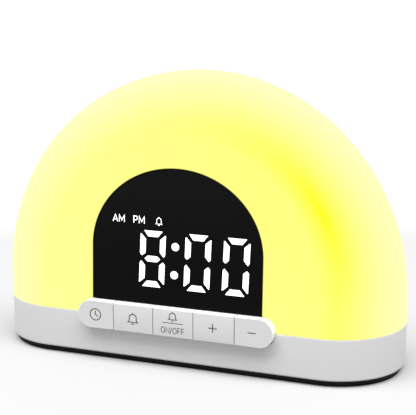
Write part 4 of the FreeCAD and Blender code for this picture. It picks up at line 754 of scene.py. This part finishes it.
def add_word(mesh, word, middle, low, tall, stroke, space, depths, place):
    """Adds a word in plain upright capitals, centred across."""
    inner = tall - stroke
    width = sum(LETTERS[letter][0] * inner for letter in word) + (len(word) - 1) * (space + stroke)
    start = middle - width / 2
    back, front = depths
    for letter in word:
        advance, lines = LETTERS[letter]
        for line in lines:
            closed = letter == "O"
            points = [(start + x * inner, low + stroke / 2 + z * inner) for x, z in line]
            add_stroke(mesh, points, stroke, back, front, place, closed)
            front -= STROKE_LIFT
        start += advance * inner + space + stroke


def add_bell(mesh, middle, low, wide, tall, stroke, depths, place):
    """Adds an outlined bell with its knob and a solid clapper."""
    back, front = depths
    half = wide / 2
    foot = low + tall * 0.2
    shoulder = low + tall * 0.62
    dome = arc(middle, shoulder, half * 0.72, tall * 0.26, 180, 0, 14)
    outline = [
        (middle - half, foot), (middle - half * 0.72, foot + tall * 0.12), *dome,
        (middle + half * 0.72, foot + tall * 0.12), (middle + half, foot),
    ]
    add_stroke(mesh, outline, stroke, back, front, place, closed=True)
    clapper = arc(middle, low + tall * 0.1, half * 0.36, tall * 0.1, 180, 360, 10)
    add_prism(mesh, clapper, back, front, place)
    knob = circle_outline(middle, low + tall * 0.94, stroke * 0.62, 12)
    add_prism(mesh, knob, back, front - STROKE_LIFT, place)


signs = bmesh.new()
sign_low = SIGN_HEIGHT - SIGN_TALL / 2
sign_depths = (PRINT_DEPTH, -PRINT_PROUD)
for word, middle, space in (("AM", MORNING_MIDDLE, MORNING_SPACE), ("PM", EVENING_MIDDLE, EVENING_SPACE)):
    add_word(signs, word, middle, sign_low, SIGN_TALL, SIGN_STROKE, space, sign_depths, front_face)
bell_low = sign_low - SIGN_BELL_DROP
add_bell(signs, BELL_MIDDLE, bell_low, *SIGN_BELL, SIGN_BELL_STROKE, sign_depths, front_face)
finished("lit_signs", signs, white_light, "root")

# Keys: five white ABS caps in one pill-shaped row, each with a softly rounded face.
# Behind the opening a flange stops each cap, and its stem reaches the switch.
# A faint emission on the upper walls of the row's round ends stands for the dome's light on them.
KEY_BODIES = ("time", "alarm", "alarm_switch", "plus", "minus")
KEY_PITCH = 16.17
KEY_SPLIT = 0.3
KEY_ROW_HALF = 39.0
KEY_HALF_TALL = 5.3
KEY_MIDDLE = 18.35
KEY_FACE = -29.775
KEY_BACK = -24.25
KEY_ROUND = 0.18
FLANGE_RIM = 1.15
FLANGE_BACK = -23.05
STEM_BACK = -19.4
STEM_HALF = (4.0, 2.5)
LAST_KEY = len(KEY_BODIES) - 1
END_WALL = 0.15
END_GLOW = 0.34
END_GLOW_BLUE = 0.28
upright = Matrix.Identity(4)

key_abs = moulded(
    "key_abs", (0.72, 0.72, 0.72), 0.38, 0.24 * MM, 0.002 * MM, uneven=0.012, Emission_Strength=1.0
)
across, _, high = key_abs.parts()
beyond = abs(across) - (KEY_ROW_HALF - KEY_HALF_TALL)
radius = (beyond.most(0.0) ** 2.0 + (high - KEY_MIDDLE) ** 2.0).root()
on_wall = radius.above(KEY_HALF_TALL - END_WALL, 0.1)
lit_wall = on_wall * beyond.above(2.0, 4.0) * high.above(KEY_MIDDLE - 1.0, 8.0)
warm = lit_wall * END_GLOW
key_abs.feed("Emission Color", key_abs.color(warm, warm, lit_wall * END_GLOW_BLUE))


def key_outline(left, right, grow=0.0, steps=28):
    """Outline of one cap. An end of the row is a half round."""
    low, high = KEY_MIDDLE - KEY_HALF_TALL - grow, KEY_MIDDLE + KEY_HALF_TALL + grow
    radius = KEY_HALF_TALL + grow
    points = []
    if left <= -KEY_ROW_HALF:
        centre = -KEY_ROW_HALF + KEY_HALF_TALL
        points += arc(centre, KEY_MIDDLE, radius, radius, 270, 90, steps)
    else:
        points += [(left, low), (left, high)]
    if right >= KEY_ROW_HALF:
        centre = KEY_ROW_HALF - KEY_HALF_TALL
        points += arc(centre, KEY_MIDDLE, radius, radius, 90, -90, steps)
    else:
        points += [(right, high), (right, low)]
    return points


def key_middle(key):
    """Middle of a key across the row."""
    return (KEY_BODIES.index(key) - LAST_KEY / 2) * KEY_PITCH


for number, key in enumerate(KEY_BODIES):
    middle = key_middle(key)
    left = -KEY_ROW_HALF if number == 0 else middle - (KEY_PITCH - KEY_SPLIT) / 2
    right = KEY_ROW_HALF if number == LAST_KEY else middle + (KEY_PITCH - KEY_SPLIT) / 2
    cap = bmesh.new()
    face = add_prism(cap, key_outline(left, right), KEY_BACK, KEY_FACE, upright)
    rim = [edge for edge in cap.edges if edge.verts[0] in face and edge.verts[1] in face]
    bmesh.ops.bevel(cap, geom=rim, offset=KEY_ROUND * MM, segments=6, profile=0.5, affect="EDGES")
    add_prism(cap, key_outline(left, right, FLANGE_RIM), FLANGE_BACK, KEY_BACK, upright)
    stem = []
    for x, z in ((-1, -1), (-1, 1), (1, 1), (1, -1)):
        stem.append((middle + x * STEM_HALF[0], KEY_MIDDLE + z * STEM_HALF[1]))
    add_prism(cap, stem, STEM_BACK, FLANGE_BACK, upright)
    piece = finished(f"cap_{key}", cap, key_abs, f"{key}_key")
    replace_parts(piece, f"key_{key}")

plunger = moulded("plunger_plastic", (0.1, 0.1, 0.1), 0.4, 0.2 * MM, 0.003 * MM)
coat(plunger, *[f"plunger_{key}" for key in KEY_BODIES])
coat(component, "switch_cases")

# Key marks: pad-printed in grey on the caps, a clock face, a bell, a bell over ON/OFF, plus and minus.
# The ink is a few hundredths of a millimetre thick and slightly uneven.
INK_BACK = -29.74
INK_FRONT = -29.79
MARK_STROKE = 0.42
MARK_SHIFT = {"time": 0.6, "plus": -0.3, "minus": -1.31}
CLOCK_RADIUS = 2.2
CLOCK_HANDS = ((0.0, 1.452), (0.0, 0.0), (1.1, -0.616))
ALARM_BELL = (4.0, 4.6)
SWITCH_BELL = (3.3, 3.7)
SWITCH_BELL_LOW = 0.75
SWITCH_BELL_STROKE = 0.378
BAR_HALF = 4.1
BAR_RISE = 0.1
BAR_STROKE = 0.294
WORD_LOW = -4.0
WORD_TALL = 2.5
WORD_STROKE = 0.3
WORD_SPACE = 0.25
WORDS = (("ON", -3.0), ("OFF", 2.35))
SLASH = (-0.95, -0.4)
PLUS_HALF = 1.65
MINUS_HALF = 1.55

ink = Finish("grey_ink", Specular_IOR_Level=0.3)
blot = ink.cloud(0.6 * MM)
ink.feed("Base Color", ink.tint(blot, shade((0.1, 0.1, 0.1)), shade((0.13, 0.13, 0.13))))
ink.feed("Roughness", blot * 0.15 + 0.5)
ink.bump(blot, 0.004 * MM)

depths = (INK_BACK, INK_FRONT)


def mark_on(key, strokes=()):
    """Starts a mark with strokes given from its middle. Each is a line of points and a width."""
    mesh = bmesh.new()
    middle = key_middle(key) + MARK_SHIFT.get(key, 0.0)
    front = INK_FRONT
    for points, width in strokes:
        line = [(middle + x, KEY_MIDDLE + z) for x, z in points]
        add_stroke(mesh, line, width, INK_BACK, front, upright)
        front -= STROKE_LIFT
    return mesh, middle


def printed(key, mesh):
    """Closes a mark and lets it ride on its key."""
    finished(f"mark_{key}", mesh, ink, f"{key}_key")


mark, x = mark_on("time", [(CLOCK_HANDS, MARK_STROKE)])
dial = circle_outline(x, KEY_MIDDLE, CLOCK_RADIUS)
add_stroke(mark, dial, MARK_STROKE, *depths, upright, closed=True)
printed("time", mark)

mark, x = mark_on("alarm")
add_bell(mark, x, KEY_MIDDLE - ALARM_BELL[1] / 2, *ALARM_BELL, MARK_STROKE, depths, upright)
printed("alarm", mark)

bar = [(-BAR_HALF, BAR_RISE), (BAR_HALF, BAR_RISE)]
slash = [(SLASH[0], WORD_LOW), (SLASH[1], WORD_LOW + WORD_TALL)]
mark, x = mark_on("alarm_switch", [(bar, BAR_STROKE)])
add_bell(mark, x, KEY_MIDDLE + SWITCH_BELL_LOW, *SWITCH_BELL, SWITCH_BELL_STROKE, depths, upright)
word_low = KEY_MIDDLE + WORD_LOW
for word, shift in WORDS:
    add_word(mark, word, x + shift, word_low, WORD_TALL, WORD_STROKE, WORD_SPACE, depths, upright)
add_stroke(mark, [(x + a, KEY_MIDDLE + b) for a, b in slash], WORD_STROKE, *depths, upright)
printed("alarm_switch", mark)

level = ([(-PLUS_HALF, 0.0), (PLUS_HALF, 0.0)], MARK_STROKE)
plumb = ([(0.0, -PLUS_HALF), (0.0, PLUS_HALF)], MARK_STROKE)
printed("plus", mark_on("plus", [level, plumb])[0])
printed("minus", mark_on("minus", [([(-MINUS_HALF, 0.0), (MINUS_HALF, 0.0)], MARK_STROKE)])[0])

# Table and studio: a white sheet that shows plain white and keeps the clock's own shadow.
# A large soft lamp hangs over the front, and the room's even light fills in.
FLOOR_SIZE = 6.0
FLOOR_BOUNCE = 0.2
FLOOR_WHITE = 0.395
FLOOR_SHOWN = 0.14
FADE_MIDDLE = 0.374
FADE_WIDTH = 0.34
ROOM_LEVEL = 0.67
LAMP_POWER = 56.0
LAMP_SIZE = (2.6, 1.1)
LAMP_PLACE = Vector((0.1, -0.42, 1.55))
LAMP_AIM = Vector((0, 0, 0.03))


def seen_directly(add):
    """1 for what the camera sees, also in a mirror or through glass, and 0 for what lights the clock."""
    paths = [add("LightPath", {}, {}, f"Is {kind} Ray") for kind in ("Camera", "Glossy", "Transmission")]
    return paths[0].most(paths[1]).most(paths[2])


table = bpy.data.meshes.new("table")
half = FLOOR_SIZE / 2
corners = [(-half, -half, 0), (half, -half, 0), (half, half, 0), (-half, half, 0)]
table.from_pydata(corners, [], [(0, 1, 2, 3)])
paper = Finish("white_table", Roughness=0.95, Specular_IOR_Level=0.0, Emission_Strength=1.0)
across, deep = paper.parts()[:2]
shown = seen_directly(paper.add)
from_clock = (across ** 2.0 + deep ** 2.0).root() * MM
far = from_clock.above(FADE_MIDDLE, FADE_WIDTH)
seen = shown * (far * (1.0 - FLOOR_SHOWN) + FLOOR_SHOWN)
paper.feed("Base Color", paper.tint(shown, shade((FLOOR_BOUNCE,) * 3), shade((FLOOR_WHITE,) * 3)))
paper.feed("Emission Color", paper.color(seen, seen, seen))
table.materials.append(paper.material)
floor = bpy.data.objects.new("table", table)
bpy.context.collection.objects.link(floor)

world = bpy.data.worlds.new("studio")
bpy.context.scene.world = world
world.use_nodes = True
room = Nodes(world.node_tree)
strength = seen_directly(room.add) * (1.0 - ROOM_LEVEL) + ROOM_LEVEL
light = room.add("Background", {}, {"Color": (1.0, 1.0, 1.0, 1.0), "Strength": strength}, 0)
room.links.new(light.socket, room.nodes.new("ShaderNodeOutputWorld").inputs["Surface"])

lamp_light = bpy.data.lights.new("overhead_lamp", "AREA")
lamp_light.shape = "RECTANGLE"
lamp_light.size, lamp_light.size_y = LAMP_SIZE
lamp_light.energy = LAMP_POWER
overhead = bpy.data.objects.new("overhead_lamp", lamp_light)
overhead.location = LAMP_PLACE
overhead.rotation_mode = "QUATERNION"
overhead.rotation_quaternion = (LAMP_AIM - LAMP_PLACE).to_track_quat("-Z", "Y")
bpy.context.collection.objects.link(overhead)
bpy.context.scene.view_settings.view_transform = "Standard"
